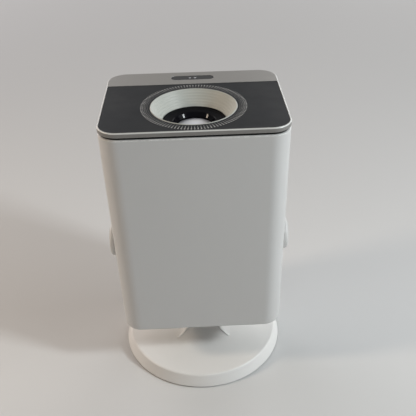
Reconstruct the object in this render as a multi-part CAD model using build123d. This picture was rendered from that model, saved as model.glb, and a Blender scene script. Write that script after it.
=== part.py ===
from build123d import *
import math
import os

# A small upright home projector that tilts in a yoke on a round base, lens face up.
# Millimetres, +Z up, X across the body, -Y the plain face, origin under the middle of the base.

# Clearances
fit_gap = 0.15
slide_gap = 0.08
thread_gap = 0.03

# Projector body, measured from the tilt axis
body_width = 110.0
body_corner = 12.0
body_wall = 2.4
rear_round = 1.2
pivot_height = 93.5
front_reach = 103.5
rear_reach = 48.0

# Front frame, dark panel and sensor window
bezel_height = 2.8
bezel_reveal = 1.7
gasket_inset = 1.3
bezel_round = 0.8
bezel_rim = 0.9
lip_height = 6.5
lip_wall = 1.8
strip_width = 20.4
panel_thickness = 1.6
panel_recess = 0.15
window_length = 28.0
window_width = 7.2
window_thickness = 1.4
window_ledge = 1.4
sensor_spacing = 3.4
sensor_radius = 1.0
sensor_board_length = 24.0
sensor_board_width = 9.0
sensor_board_thickness = 1.4

# Lens opening, lens and focus drive
lens_offset = 10.1
funnel_mouth_radius = 25.2
funnel_rim = 0.8
funnel_throat_radius = 19.6
funnel_cone_depth = 9.0
funnel_depth = 15.0
funnel_wall = 2.4
funnel_steps = 6
funnel_ledge = 0.3
flange_width = 3.0
flange_thickness = 1.6
flange_gap = 1.0
throat_gap = 0.3
ring_depth = 9.0
ring_drop = 2.8
ring_edge = 1.0
glass_window_radius = 10.5
barrel_length = 38.0
barrel_wall = 4.0
barrel_neck_wall = 6.2
rear_seat_depth = 14.0
front_lens_edge = 2.4
front_lens_crown = 4.6
front_lens_hollow = 0.8
middle_lens_centre = 3.0
middle_lens_hollow = 2.2
rear_lens_edge = 3.4
rear_lens_crown = 3.6
focus_travel = 2.5
bracket_lift = 1.0
bracket_height = 6.0
bracket_wall = 2.6
ear_width = 8.0
guide_radius = 1.5
guide_offset = 30.0
tube_wall = 3.2
mount_thickness = 3.0
post_radius = 3.5
post_inset = 5.0
motor_radius = 5.0
motor_height = 12.0
motor_bearing_depth = 4.0

# Light engine, from the rear cover forward
fan_size = 60.0
fan_height = 15.0
fan_wall = 1.6
fan_gap = 1.5
fan_hub_radius = 12.0
fan_hub_wall = 1.2
fan_strut_thickness = 3.0
fan_strut_width = 3.0
fan_run_gap = 0.8
fan_lift = 1.5
fan_shaft_radius = 1.5
fan_bearing_wall = 1.6
blade_count = 7
blade_thickness = 1.2
blade_pitch = 38.0
engine_width = 76.0
engine_depth = 57.0
engine_height = 38.0
engine_wall = 2.2
engine_corner = 3.0
engine_window_width = 58.0
engine_window_depth = 34.0
groove_depth = 0.8
fin_height = 15.0
fin_thickness = 1.4
fin_count = 15
sink_base = 5.0
led_board_size = 40.0
led_board_thickness = 1.6
led_radius = 7.0
led_height = 1.2
condenser_lift = 9.0
condenser_thickness = 2.5
condenser_radius = 22.0
condenser_crown = 6.0
fresnel_lift = 20.0
fresnel_thickness = 1.6
lcd_lift = 25.0
lcd_thickness = 2.4
field_lift = 31.0
field_thickness = 1.6

# Rear cover, grille, sockets, button and speaker
cover_inset = 1.0
cover_thickness = 2.4
grille_overlap = 1.5
grille_thickness = 1.2
grille_gap = 2.0
grille_bar = 1.5
grille_hub_radius = 6.0
grille_spokes = 6
grille_spoke_width = 2.2
port_plate_length = 84.0
port_plate_margin = 1.6
port_flange = 0.8
port_flange_thickness = 1.0
socket_wall = 0.5
socket_back = 2.0
hdmi_x = 28.0
hdmi_width = 15.0
hdmi_height = 5.6
hdmi_length = 12.0
hdmi_corner = 1.2
tongue_thickness = 1.0
usb_x = 6.0
usb_width = 14.0
usb_height = 6.4
usb_length = 14.0
usb_tongue_thickness = 1.8
audio_x = -13.0
audio_width = 7.0
audio_length = 12.0
audio_bore_radius = 1.8
inlet_x = -31.0
inlet_width = 9.5
inlet_length = 14.0
inlet_bore_radius = 3.1
inlet_pin_radius = 1.05
board_width = 84.0
board_height = 100.0
board_thickness = 1.6
board_lift = 3.0
standoff_length = 4.0
standoff_radius = 3.0
standoff_inset = 6.0
chip_size = 18.0
chip_height = 2.0
button_radius = 5.5
button_proud = 0.6
button_travel = 0.8
button_flange = 1.3
button_flange_thickness = 1.0
switch_gap = 0.2
switch_thickness = 2.4
switch_leg = 2.0
infrared_radius = 3.0
infrared_spacing = 20.0
speaker_width = 18.0
speaker_length = 40.0
speaker_rim = 2.0
speaker_height = 5.0
speaker_cavity = 3.0
cone_thickness = 2.2
cone_taper = 30.0
magnet_radius = 7.0
magnet_height = 6.0
speaker_slots = 4
speaker_slot_width = 1.6
speaker_slot_pitch = 3.4
boss_merge = 0.8
boss_height = 11.0
cover_rim = 0.7
screw_radius = 1.5
screw_head_radius = 2.6
screw_head_height = 1.2
screw_length = 9.0

# Air intake in the broad side behind the main board
intake_width = 62.0
intake_height = 18.0
intake_corner = 3.0
intake_lift = 22.0
intake_flange = 1.6
intake_flange_thickness = 1.0
intake_slots = 14
intake_slot_width = 2.0
intake_slot_pitch = 4.0
intake_slot_margin = 2.5

# Tilt hinge
arm_gap = 0.7
arm_thickness = 3.4
arm_width = 23.0
arm_round = 0.8
yoke_bend_radius = 8.0
sweep_gap = 2.5
stud_radius = 4.0
stud_hole_gap = 0.4
stud_head_radius = 7.0
stud_head_height = 2.0
bush_gap = 0.05
bush_wall = 2.0
friction_washer_radius = 11.0
spring_washer_radius = 8.0
spring_washer_thickness = 0.6
nut_radius = 7.5
nut_height = 1.4
cap_inset = 0.3
cap_height = 3.4
cap_round = 1.8
cap_wall = 1.0
hinge_plate_thickness = 2.5
hinge_plate_width = 30.0
hinge_plate_height = 36.0
hinge_plate_corner = 4.0

# Round base with a flared square neck
base_radius = 60.3
base_top_radius = 57.0
base_height = 10.2
base_wall = 2.4
base_round = 1.6
foot_drop = 1.0
foot_inset = 6.3
foot_ring_width = 10.0
foot_groove = 0.4
base_plate_thickness = 2.2
base_boss_radius = 3.6
base_screws_count = 4
weight_gap = 1.0
weight_headroom = 0.4
weight_hole_radius = 13.0
neck_half_width = 9.5
neck_half_depth = 8.5
neck_flare = 11.0
neck_lip = 0.05
yoke_screw_spacing = 11.0
yoke_screw_radius = 2.0
yoke_head_radius = 3.2
yoke_head_height = 2.2
yoke_head_recess = 3.6
insert_radius = 5.5
insert_length = 6.5
insert_flange = 2.5
insert_flange_thickness = 1.2
tripod_bore_radius = 3.175

# Heights and places that follow from the sizes above
flange_radius = funnel_mouth_radius + funnel_rim + flange_width
fan_bore_radius = fan_size / 2 - fan_wall
room_below_axis = max(fan_size / 2 + fan_gap, flange_radius + flange_gap)
body_depth = 2 * (lens_offset + room_below_axis + body_wall)
face_z = pivot_height + front_reach
rear_z = pivot_height - rear_reach
bezel_z = face_z - bezel_height
shell_top_z = bezel_z - bezel_reveal
panel_floor_z = face_z - panel_recess - panel_thickness
window_floor_z = face_z - panel_recess - window_thickness
strip_y = body_depth / 2 - strip_width
window_y = body_depth / 2 - strip_width / 2
lens_y = -lens_offset
throat_z = face_z - funnel_depth
ring_top_z = face_z - ring_depth
ring_base_z = ring_top_z - ring_drop - ring_edge
barrel_rear_z = ring_base_z - barrel_length
barrel_radius = funnel_throat_radius - throat_gap
seat_radius = barrel_radius - barrel_wall
neck_radius = barrel_radius - barrel_neck_wall
rear_seat_z = barrel_rear_z + rear_seat_depth
bracket_z = barrel_rear_z + bracket_lift
mount_z = bracket_z + bracket_height + focus_travel + bracket_lift
mount_top_z = mount_z + mount_thickness
cover_z = rear_z + cover_inset
cover_top_z = cover_z + cover_thickness
fan_top_z = cover_top_z + fan_height
fin_top_z = fan_top_z + fin_height
engine_z = fin_top_z + sink_base
engine_top_z = engine_z + engine_height
engine_inner_width = engine_width - 2 * engine_wall
engine_inner_depth = engine_depth - 2 * engine_wall
inner_width = body_width - 2 * body_wall
inner_depth = body_depth - 2 * body_wall
inner_corner = body_corner - body_wall
boss_radius = screw_head_radius + 2 * fit_gap + cover_rim + boss_merge
boss_reach = (inner_corner + boss_merge - boss_radius) * math.sqrt(0.5)
boss_x = body_width / 2 - body_corner + boss_reach
boss_y = body_depth / 2 - body_corner + boss_reach
board_y = inner_depth / 2 - standoff_length - board_thickness
board_z = cover_top_z + board_lift
intake_z = cover_top_z + intake_lift + intake_height / 2
side_x = (fan_size / 2 + inner_width / 2) / 2
port_low_y = board_y - inlet_width - port_plate_margin
port_high_y = board_y + port_plate_margin
port_y = (port_low_y + port_high_y) / 2
port_plate_width = port_high_y - port_low_y
button_z = cover_z - button_proud
switch_z = cover_top_z + button_flange_thickness + button_travel + switch_gap
arm_inner_x = body_width / 2 + arm_gap
arm_outer_x = arm_inner_x + arm_thickness
nut_x = arm_outer_x + spring_washer_thickness
stud_end_x = nut_x + nut_height
cap_outer_x = arm_outer_x + cap_height
hinge_plate_x = inner_width / 2 - hinge_plate_thickness
cap_radius = arm_width / 2 - cap_inset
bush_radius = stud_radius + bush_gap + bush_wall
sweep_radius = math.hypot(rear_reach, body_depth / 2)
bar_top_z = pivot_height - sweep_radius - sweep_gap
neck_top_z = bar_top_z - arm_thickness
base_ceiling_z = base_height - base_wall
base_plate_z = foot_drop + base_plate_thickness
groove_z = foot_drop + foot_groove
foot_ring_outer = base_radius - foot_inset
foot_ring_inner = foot_ring_outer - foot_ring_width
foot_screw_circle = (foot_ring_inner + foot_ring_outer) / 2
recess_z = base_ceiling_z + yoke_head_recess

on_floor = (Align.CENTER, Align.CENTER, Align.MIN)
sides = {"left": -1, "right": 1}
corners = [(-1, -1), (1, -1), (1, 1), (-1, 1)]


def disc(radius, low, high, x=0.0, y=0.0):
    """Upright round bar between two heights."""
    return Pos(x, y, low) * Cylinder(radius, high - low, align=on_floor)


def ring(outer, inner, low, high, x=0.0, y=0.0):
    """Upright tube between two heights."""
    return disc(outer, low, high, x, y) - disc(inner, low, high, x, y)


def block(width, depth, low, high, x=0.0, y=0.0):
    """Upright rectangular bar between two heights."""
    return Pos(x, y, low) * Box(width, depth, high - low, align=on_floor)


def slab(width, depth, corner, low, high, x=0.0, y=0.0):
    """Upright bar of rounded rectangular plan."""
    return Pos(x, y, low) * extrude(RectangleRounded(width, depth, corner), amount=high - low)


def pill(length, width, low, high, x=0.0, y=0.0, turn=0.0):
    """Upright bar of slot-shaped plan."""
    return Pos(x, y, low) * extrude(SlotOverall(length, width, rotation=turn), amount=high - low)


def turned(points, y=0.0):
    """Solid of revolution about a vertical axis from (radius, height) corners."""
    outline = Polyline([(radius, 0, height) for radius, height in points], close=True)
    return Pos(0, y, 0) * revolve(make_face(outline), Axis.Z)


def at_side(side, solid):
    """Turn a solid built along +Z so that it lies along the tilt axis on one side."""
    return Pos(0, 0, pivot_height) * Rot(0, 90 * side, 0) * solid


def group(solids):
    """Several separate solids of one kind in one node."""
    return Compound(children=list(solids))


def screw(shaft_radius, head_radius, head_height, low, high, x, y):
    """Pan-head screw that points up, with its head at the low end."""
    head = disc(head_radius, low, low + head_height, x, y)
    return head + disc(shaft_radius, low + head_height, high, x, y)


# Housing and front


def housing_shell():
    """White sleeve, open at both ends, with screw bosses and board standoffs inside."""
    shell = slab(body_width, body_depth, body_corner, rear_z, shell_top_z)
    shell = fillet(shell.edges().group_by(Axis.Z)[0], rear_round)
    shell -= slab(inner_width, inner_depth, inner_corner, rear_z, shell_top_z)
    for x_sign, y_sign in corners:
        boss = disc(boss_radius, cover_top_z, cover_top_z + boss_height, x_sign * boss_x, y_sign * boss_y)
        pilot_top = cover_top_z + boss_height
        pilot = disc(screw_radius + thread_gap, cover_top_z, pilot_top, x_sign * boss_x, y_sign * boss_y)
        shell = shell + boss - pilot
    for x_sign in (-1, 1):
        for height in (board_z + standoff_inset, board_z + board_height - standoff_inset):
            standoff = Cylinder(standoff_radius, standoff_length + body_wall / 2, align=on_floor)
            place = Pos(x_sign * (board_width / 2 - standoff_inset), board_y + board_thickness, height)
            shell += place * Rot(-90, 0, 0) * standoff
    for side in sides.values():
        shell -= at_side(side, disc(stud_radius + stud_hole_gap, hinge_plate_x, arm_inner_x))
    window = RectangleRounded(intake_width, intake_height, intake_corner)
    return shell - at_intake(extrude(window, amount=body_wall))


def at_intake(solid):
    """Place a solid built along +Z on the outside of the broad side, drawn inwards."""
    return Pos(0, body_depth / 2, intake_z) * Rot(90, 0, 0) * solid


def intake_grille():
    """Slotted air intake, flush with the broad side and held by a flange behind its wall."""
    corner = intake_corner - fit_gap
    plan = RectangleRounded(intake_width - 2 * fit_gap, intake_height - 2 * fit_gap, corner)
    grille = extrude(plan, amount=body_wall)
    flange_size = (intake_width + 2 * intake_flange, intake_height + 2 * intake_flange)
    flange = RectangleRounded(*flange_size, intake_corner + intake_flange)
    grille += Pos(0, 0, body_wall) * extrude(flange, amount=intake_flange_thickness)
    depth = body_wall + intake_flange_thickness
    slot_length = intake_height - 2 * intake_slot_margin
    for slot in range(intake_slots):
        x = (slot - (intake_slots - 1) / 2) * intake_slot_pitch
        grille -= pill(slot_length, intake_slot_width, 0.0, depth, x, turn=90)
    return at_intake(grille)


def panel_plan(gap, low, high):
    """Plan of the dark panel: the face inside the rim, cut off straight at the strip."""
    inset = 2 * (bezel_rim + gap)
    whole = slab(body_width - inset, body_depth - inset, body_corner - bezel_rim - gap, low, high)
    kept_depth = strip_y - gap + body_depth / 2
    return whole & block(body_width, kept_depth, low, high, y=strip_y - gap - kept_depth / 2)


def front_bezel():
    """Metallic front frame with a pocket for the dark panel and a lip that plugs into the sleeve."""
    frame = slab(body_width, body_depth, body_corner, bezel_z, face_z)
    frame = fillet(frame.edges().group_by(Axis.Z)[-1], bezel_round)
    plug_width = inner_width - 2 * fit_gap
    plug_depth = inner_depth - 2 * fit_gap
    plug_corner = inner_corner - fit_gap
    lip = slab(plug_width, plug_depth, plug_corner, bezel_z - lip_height, bezel_z)
    bore_width = plug_width - 2 * lip_wall
    bore_depth = plug_depth - 2 * lip_wall
    lip -= slab(bore_width, bore_depth, plug_corner - lip_wall, bezel_z - lip_height, bezel_z)
    frame += lip
    frame -= panel_plan(0.0, panel_floor_z, face_z)
    frame -= disc(funnel_mouth_radius + funnel_rim + fit_gap, bezel_z, face_z, y=lens_y)
    frame -= disc(flange_radius + fit_gap, bezel_z - lip_height, bezel_z, y=lens_y)
    frame -= pill(window_length, window_width, window_floor_z, face_z, y=window_y)
    opening = (window_length - 2 * window_ledge, window_width - 2 * window_ledge)
    return frame - pill(*opening, bezel_z, window_floor_z, y=window_y)


def front_gasket():
    """Dark seal in the gap between the sleeve and the front frame, set back from the outside."""
    inset = 2 * gasket_inset
    corner = body_corner - gasket_inset
    seal = slab(body_width - inset, body_depth - inset, corner, shell_top_z, bezel_z)
    return seal - slab(inner_width, inner_depth, inner_corner, shell_top_z, bezel_z)


def front_panel():
    """Dark panel round the lens."""
    top = face_z - panel_recess
    panel = panel_plan(fit_gap, panel_floor_z, top)
    return panel - disc(funnel_mouth_radius + funnel_rim + fit_gap, panel_floor_z, top, y=lens_y)


def sensor_window():
    """Smoked pill window in the metallic strip."""
    length = window_length - 2 * fit_gap
    return pill(length, window_width - 2 * fit_gap, window_floor_z, face_z - panel_recess, y=window_y)


def sensor_board():
    """Range sensor board under the window, with its emitter and receiver."""
    low = bezel_z - sensor_board_thickness
    board = block(sensor_board_length, sensor_board_width, low, bezel_z, y=window_y)
    for sign in (-1, 1):
        board += disc(sensor_radius, bezel_z, window_floor_z - fit_gap, sign * sensor_spacing / 2, window_y)
    return board


# Lens


def lens_funnel():
    """Pale flared lens opening with fine concentric steps."""
    cone_z = face_z - funnel_cone_depth
    flange_z = bezel_z - flange_thickness
    profile = [
        (funnel_mouth_radius + funnel_rim, face_z),
        (funnel_mouth_radius + funnel_rim, bezel_z),
        (flange_radius, bezel_z),
        (flange_radius, flange_z),
        (funnel_mouth_radius + funnel_rim, flange_z),
        (funnel_throat_radius + funnel_wall, cone_z),
        (funnel_throat_radius + funnel_wall, throat_z),
        (funnel_throat_radius, throat_z),
    ]
    rise = funnel_cone_depth / funnel_steps
    run = (funnel_mouth_radius - funnel_throat_radius) / funnel_steps
    for step in range(funnel_steps):
        profile.append((funnel_throat_radius + step * run, cone_z + step * rise))
        profile.append((funnel_throat_radius + step * run + funnel_ledge, cone_z + step * rise))
    profile.append((funnel_mouth_radius, face_z))
    return turned(profile, lens_y)


def lens_ring():
    """Black dished ring at the front of the lens barrel."""
    profile = [
        (barrel_radius, ring_base_z),
        (barrel_radius, ring_top_z),
        (glass_window_radius, ring_top_z - ring_drop),
        (glass_window_radius, ring_base_z),
    ]
    return turned(profile, lens_y)


def crown_rise(radius, height, reach):
    """Height that a spherical lens face gains from its rim in to a smaller radius."""
    sphere = (radius ** 2 + height ** 2) / (2 * height)
    return math.sqrt(sphere ** 2 - reach ** 2) - (sphere - height)


def front_rim_z():
    """Height of the front glass's rim, whose dome just clears the edge of the black ring."""
    rise = crown_rise(seat_radius - fit_gap, front_lens_crown, glass_window_radius)
    return ring_base_z - rise - fit_gap


def rear_rim_z():
    """Height of the rear glass's rim, whose dome just clears the narrow middle of the barrel."""
    return rear_seat_z - crown_rise(seat_radius - fit_gap, rear_lens_crown, neck_radius) - fit_gap


def lens_barrel():
    """Lens tube with a seat for a lens at each end and a narrower middle."""
    front_seat_z = front_rim_z() - front_lens_edge
    barrel = disc(barrel_radius, barrel_rear_z, ring_base_z, y=lens_y)
    barrel -= disc(seat_radius, front_seat_z, ring_base_z, y=lens_y)
    barrel -= disc(neck_radius, rear_seat_z, front_seat_z, y=lens_y)
    return barrel - disc(seat_radius, barrel_rear_z, rear_seat_z, y=lens_y)


def crown(radius, rim_z, apex_z):
    """Spherical lens face from its rim to its apex, as an arc in the XZ plane."""
    height = apex_z - rim_z
    rise = math.copysign(crown_rise(radius, abs(height), radius / 2), height)
    return ThreePointArc((radius, 0, rim_z), (radius / 2, 0, rim_z + rise), (0, 0, apex_z))


def lens_element(radius, low, high, low_apex, high_apex):
    """Round lens with a spherical face at each end of its edge."""
    outline = [
        crown(radius, high, high_apex),
        Line((0, 0, high_apex), (0, 0, low_apex)),
        crown(radius, low, low_apex),
        Line((radius, 0, low), (radius, 0, high)),
    ]
    return Pos(0, lens_y, 0) * revolve(make_face(outline), Axis.Z)


def front_lens():
    """Domed front glass that shows in the black ring."""
    high = front_rim_z()
    low = high - front_lens_edge
    return lens_element(seat_radius - fit_gap, low, high, low + front_lens_hollow, high + front_lens_crown)


def middle_lens():
    """Hollow-faced lens glued in the narrow middle of the barrel."""
    middle = (front_rim_z() - front_lens_edge + rear_seat_z) / 2
    low = middle - middle_lens_centre / 2
    high = middle + middle_lens_centre / 2
    radius = neck_radius - fit_gap
    return lens_element(radius, low - middle_lens_hollow, high + middle_lens_hollow, low, high)


def rear_lens():
    """Rear glass behind its shoulder in the barrel."""
    high = rear_rim_z()
    low = high - rear_lens_edge
    return lens_element(seat_radius - fit_gap, low, high, low - rear_lens_crown, high + rear_lens_crown)


def focus_bracket():
    """Clamp on the barrel with one ear on the lead screw and one on the guide rod."""
    top = bracket_z + bracket_height
    clamp_radius = barrel_radius + thread_gap
    clamp = disc(clamp_radius + bracket_wall, bracket_z, top, y=lens_y)
    clamp += block(2 * guide_offset, ear_width, bracket_z, top, y=lens_y)
    for sign in (-1, 1):
        clamp += disc(ear_width / 2, bracket_z, top, sign * guide_offset, lens_y)
        clamp -= disc(guide_radius + slide_gap, bracket_z, top, sign * guide_offset, lens_y)
    return clamp - disc(clamp_radius, bracket_z, top, y=lens_y)


def lens_mount():
    """Guide tube for the barrel on a plate that stands on four posts."""
    bore_radius = barrel_radius + slide_gap
    plate = slab(engine_width, engine_depth, engine_corner, mount_z, mount_top_z, y=lens_y)
    plate += disc(bore_radius + tube_wall, mount_z, throat_z, y=lens_y)
    for x_sign, y_sign in corners:
        post_x = x_sign * (engine_width / 2 - post_inset)
        post_y = lens_y + y_sign * (engine_depth / 2 - post_inset)
        plate += disc(post_radius, engine_top_z, mount_z, post_x, post_y)
    plate -= disc(bore_radius, mount_z, throat_z, y=lens_y)
    return plate - disc(guide_radius + throat_gap, mount_z, mount_top_z, guide_offset, lens_y)


def focus_motor():
    """Small focus motor on the lens mount, with a bearing for the lead screw."""
    motor = disc(motor_radius, mount_top_z, mount_top_z + motor_height, guide_offset, lens_y)
    bearing_top = mount_top_z + motor_bearing_depth
    return motor - disc(guide_radius + slide_gap, mount_top_z, bearing_top, guide_offset, lens_y)


def focus_lead_screw():
    """Lead screw that hangs from the motor bearing through the bracket ear."""
    low = barrel_rear_z - focus_travel - bracket_lift
    return disc(guide_radius, low, mount_top_z + motor_bearing_depth - fit_gap, guide_offset, lens_y)


def focus_guide_rod():
    """Fixed rod that keeps the barrel from turning."""
    return disc(guide_radius, engine_top_z, mount_z, -guide_offset, lens_y)


# Light engine


def engine_plate(lift, thickness):
    """Flat optical plate whose edges sit in the grooves of the engine case."""
    width = engine_inner_width + 2 * groove_depth - 2 * fit_gap
    depth = engine_inner_depth + 2 * groove_depth - 2 * fit_gap
    return block(width, depth, engine_z + lift, engine_z + lift + thickness, y=lens_y)


def engine_case():
    """Dark box between the light source and the lens, grooved for its optical plates."""
    case = slab(engine_width, engine_depth, engine_corner, engine_z, engine_top_z, y=lens_y)
    ceiling = engine_top_z - engine_wall
    case -= block(engine_inner_width, engine_inner_depth, engine_z, ceiling, y=lens_y)
    case -= block(engine_window_width, engine_window_depth, ceiling, engine_top_z, y=lens_y)
    grooves = {
        condenser_lift: condenser_thickness,
        fresnel_lift: fresnel_thickness,
        lcd_lift: lcd_thickness,
        field_lift: field_thickness,
    }
    for lift, thickness in grooves.items():
        width = engine_inner_width + 2 * groove_depth
        depth = engine_inner_depth + 2 * groove_depth
        low = engine_z + lift
        case -= block(width, depth, low, low + thickness + fit_gap, y=lens_y)
    return case


def condenser_lens():
    """Moulded condenser: a square plate with a domed lens on it."""
    plate = engine_plate(condenser_lift, condenser_thickness)
    low = engine_z + condenser_lift
    rim = low + condenser_thickness
    hollow = low + condenser_thickness / 2
    return plate + lens_element(condenser_radius, low, rim, hollow, rim + condenser_crown)


def fresnel_lens():
    """Flat lens that spreads the light evenly over the picture panel."""
    return engine_plate(fresnel_lift, fresnel_thickness)


def lcd_panel():
    """Picture panel."""
    return engine_plate(lcd_lift, lcd_thickness)


def field_lens():
    """Flat lens that gathers the picture into the barrel."""
    return engine_plate(field_lift, field_thickness)


def led_module():
    """Light source on its metal-core board."""
    top = engine_z + led_board_thickness
    board = block(led_board_size, led_board_size, engine_z, top, y=lens_y)
    return board + disc(led_radius, top, top + led_height, y=lens_y)


def heatsink():
    """Finned aluminium block under the light source."""
    sink = slab(engine_width, engine_depth, engine_corner, fin_top_z, engine_z, y=lens_y)
    fin_span = engine_width - 2 * engine_corner - fin_thickness
    for fin in range(fin_count):
        x = -fin_span / 2 + fin * fin_span / (fin_count - 1)
        sink += block(fin_thickness, engine_depth - 2 * engine_corner, fan_top_z, fin_top_z, x, lens_y)
    return sink


def fan_frame():
    """Square fan frame with a hub on four struts and a bearing tube."""
    frame = slab(fan_size, fan_size, engine_corner, cover_top_z, fan_top_z, y=lens_y)
    frame -= disc(fan_bore_radius, cover_top_z, fan_top_z, y=lens_y)
    strut_z = fan_top_z - fan_strut_thickness
    struts = disc(fan_hub_radius, strut_z, fan_top_z, y=lens_y)
    for turn in (45, 135):
        strut = block(2 * fan_bore_radius + fan_strut_width, fan_strut_width, strut_z, fan_top_z)
        struts += Pos(0, lens_y, 0) * Rot(0, 0, turn) * strut
    bearing_low = cover_top_z + fan_lift + fan_hub_wall + fan_run_gap
    bore_radius = fan_shaft_radius + slide_gap
    struts += disc(bore_radius + fan_bearing_wall, bearing_low, strut_z, y=lens_y)
    return frame + struts - disc(bore_radius, bearing_low, fan_top_z, y=lens_y)


def fan_impeller():
    """Fan wheel: a cup-shaped hub on a shaft, with pitched blades."""
    low = cover_top_z + fan_lift
    high = fan_top_z - fan_strut_thickness - fan_run_gap
    tip_radius = fan_bore_radius - fan_run_gap
    cup_bore = fan_hub_radius - fan_hub_wall
    blade_length = tip_radius - cup_bore
    chord = (high - low) / math.cos(math.radians(blade_pitch))
    blades = []
    for blade in range(blade_count):
        plate = Rot(blade_pitch, 0, 0) * Box(blade_length, blade_thickness, chord)
        outward = Pos(cup_bore + blade_length / 2, 0, (low + high) / 2) * plate
        blades.append(Rot(0, 0, 360 * blade / blade_count) * outward)
    swept = ring(tip_radius, fan_hub_radius - fan_hub_wall / 2, low, high)
    wheel = ring(fan_hub_radius, cup_bore, low, high) + disc(cup_bore, low, low + fan_hub_wall)
    for blade in blades:
        wheel += blade & swept
    wheel += disc(fan_shaft_radius, low + fan_hub_wall, high)
    return Pos(0, lens_y, 0) * wheel


# Rear cover and what it carries


def rear_cover():
    """Inset cover over the rear end, with openings for the fan, sockets, button and speaker."""
    plan = (inner_width - 2 * fit_gap, inner_depth - 2 * fit_gap, inner_corner - fit_gap)
    cover = slab(*plan, cover_z, cover_top_z)
    cover -= disc(fan_bore_radius, cover_z, cover_top_z, y=lens_y)
    grille_seat_radius = fan_bore_radius + grille_overlap + fit_gap
    cover -= disc(grille_seat_radius, cover_z, cover_z + grille_thickness, y=lens_y)
    opening = (port_plate_length + 2 * fit_gap, port_plate_width + 2 * fit_gap)
    cover -= block(*opening, cover_z, cover_top_z, y=port_y)
    cover -= disc(button_radius + throat_gap, cover_z, cover_top_z, -side_x, lens_y)
    cover -= disc(infrared_radius + fit_gap, cover_z, cover_top_z, -side_x, lens_y + infrared_spacing)
    slot_length = speaker_length - 4 * speaker_rim
    for slot in range(speaker_slots):
        x = side_x + (slot - (speaker_slots - 1) / 2) * speaker_slot_pitch
        cover -= pill(slot_length, speaker_slot_width, cover_z, cover_top_z, x, lens_y, turn=90)
    for x_sign, y_sign in corners:
        place = (x_sign * boss_x, y_sign * boss_y)
        cover -= disc(screw_radius + fit_gap, cover_z, cover_top_z, *place)
        cover -= disc(screw_head_radius + fit_gap, cover_z, cover_z + screw_head_height, *place)
    return cover


def rear_grille():
    """Round fan grille of concentric bars and spokes."""
    top = cover_z + grille_thickness
    radius = fan_bore_radius + grille_overlap
    grille = disc(radius, cover_z, top)
    spokes = block(2 * radius, grille_spoke_width, cover_z, top)
    for spoke in range(1, grille_spokes // 2):
        turn = Rot(0, 0, 360 * spoke / grille_spokes)
        spokes += turn * block(2 * radius, grille_spoke_width, cover_z, top)
    gap_count = int((fan_bore_radius - grille_hub_radius) // (grille_gap + grille_bar))
    for gap in range(gap_count):
        inner = grille_hub_radius + gap * (grille_gap + grille_bar)
        grille -= ring(inner + grille_gap, inner, cover_z, top) - spokes
    return Pos(0, lens_y, 0) * grille


def cover_screws():
    """Four screws that hold the rear cover to the bosses of the sleeve."""
    solids = []
    for x_sign, y_sign in corners:
        place = (x_sign * boss_x, y_sign * boss_y)
        tip = cover_z + screw_length
        solids.append(screw(screw_radius, screw_head_radius, screw_head_height, cover_z, tip, *place))
    return group(solids)


def socket_block(x, width, height, low, high):
    """Upright block against the main board at one socket."""
    return block(width, height, low, high, x, board_y - height / 2)


def port_plate():
    """Dark socket plate with a flange behind the cover, cut out for four sockets."""
    plate = block(port_plate_length, port_plate_width, cover_z, cover_top_z, y=port_y)
    flange_length = port_plate_length + 2 * port_flange
    flange_depth = port_plate_width + 2 * port_flange
    flange_top = cover_top_z + port_flange_thickness
    plate += block(flange_length, flange_depth, cover_top_z, flange_top, y=port_y)
    openings = [
        (hdmi_x, hdmi_width, hdmi_height),
        (usb_x, usb_width, usb_height),
        (audio_x, audio_width, audio_width),
        (inlet_x, inlet_width, inlet_width),
    ]
    for x, width, height in openings:
        cut = (width + 2 * fit_gap, height + 2 * fit_gap, cover_z, flange_top, x, board_y - height / 2)
        plate -= block(*cut)
    return plate


def hdmi_port():
    """Flat video socket with two cut corners and a contact tongue."""
    back = cover_z + hdmi_length
    shell = socket_block(hdmi_x, hdmi_width, hdmi_height, cover_z, back)
    shell = chamfer(shell.edges().filter_by(Axis.Z).sort_by(Axis.Y)[:2], hdmi_corner)
    middle_y = board_y - hdmi_height / 2
    mouth = (hdmi_width - 2 * socket_wall, hdmi_height - 2 * socket_wall)
    cavity = block(*mouth, cover_z, back - socket_back, hdmi_x, middle_y)
    cavity = chamfer(cavity.edges().filter_by(Axis.Z).sort_by(Axis.Y)[:2], hdmi_corner)
    tongue_low = cover_z + socket_back
    tongue_width = hdmi_width - 2 * hdmi_corner - 2 * socket_wall - 2 * socket_wall
    tongue = block(tongue_width, tongue_thickness, tongue_low, back - socket_back, hdmi_x, middle_y)
    return shell - cavity + tongue


def usb_port():
    """Rectangular data socket with its contact tongue to one side."""
    back = cover_z + usb_length
    shell = socket_block(usb_x, usb_width, usb_height, cover_z, back)
    middle_y = board_y - usb_height / 2
    mouth = (usb_width - 2 * socket_wall, usb_height - 2 * socket_wall)
    shell -= block(*mouth, cover_z, back - socket_back, usb_x, middle_y)
    tongue_low = cover_z + socket_back
    tongue_y = board_y - 2 * socket_wall - usb_tongue_thickness / 2
    tongue_width = usb_width - 4 * socket_wall
    return shell + block(tongue_width, usb_tongue_thickness, tongue_low, back - socket_back, usb_x, tongue_y)


def audio_jack():
    """Headphone socket."""
    back = cover_z + audio_length
    body = socket_block(audio_x, audio_width, audio_width, cover_z, back)
    return body - disc(audio_bore_radius, cover_z, back - socket_back, audio_x, board_y - audio_width / 2)


def dc_inlet():
    """Barrel power inlet with its centre pin."""
    back = cover_z + inlet_length
    middle_y = board_y - inlet_width / 2
    body = socket_block(inlet_x, inlet_width, inlet_width, cover_z, back)
    body -= disc(inlet_bore_radius, cover_z, back - socket_back, inlet_x, middle_y)
    return body + disc(inlet_pin_radius, cover_z + socket_wall, back - socket_back, inlet_x, middle_y)


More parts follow.
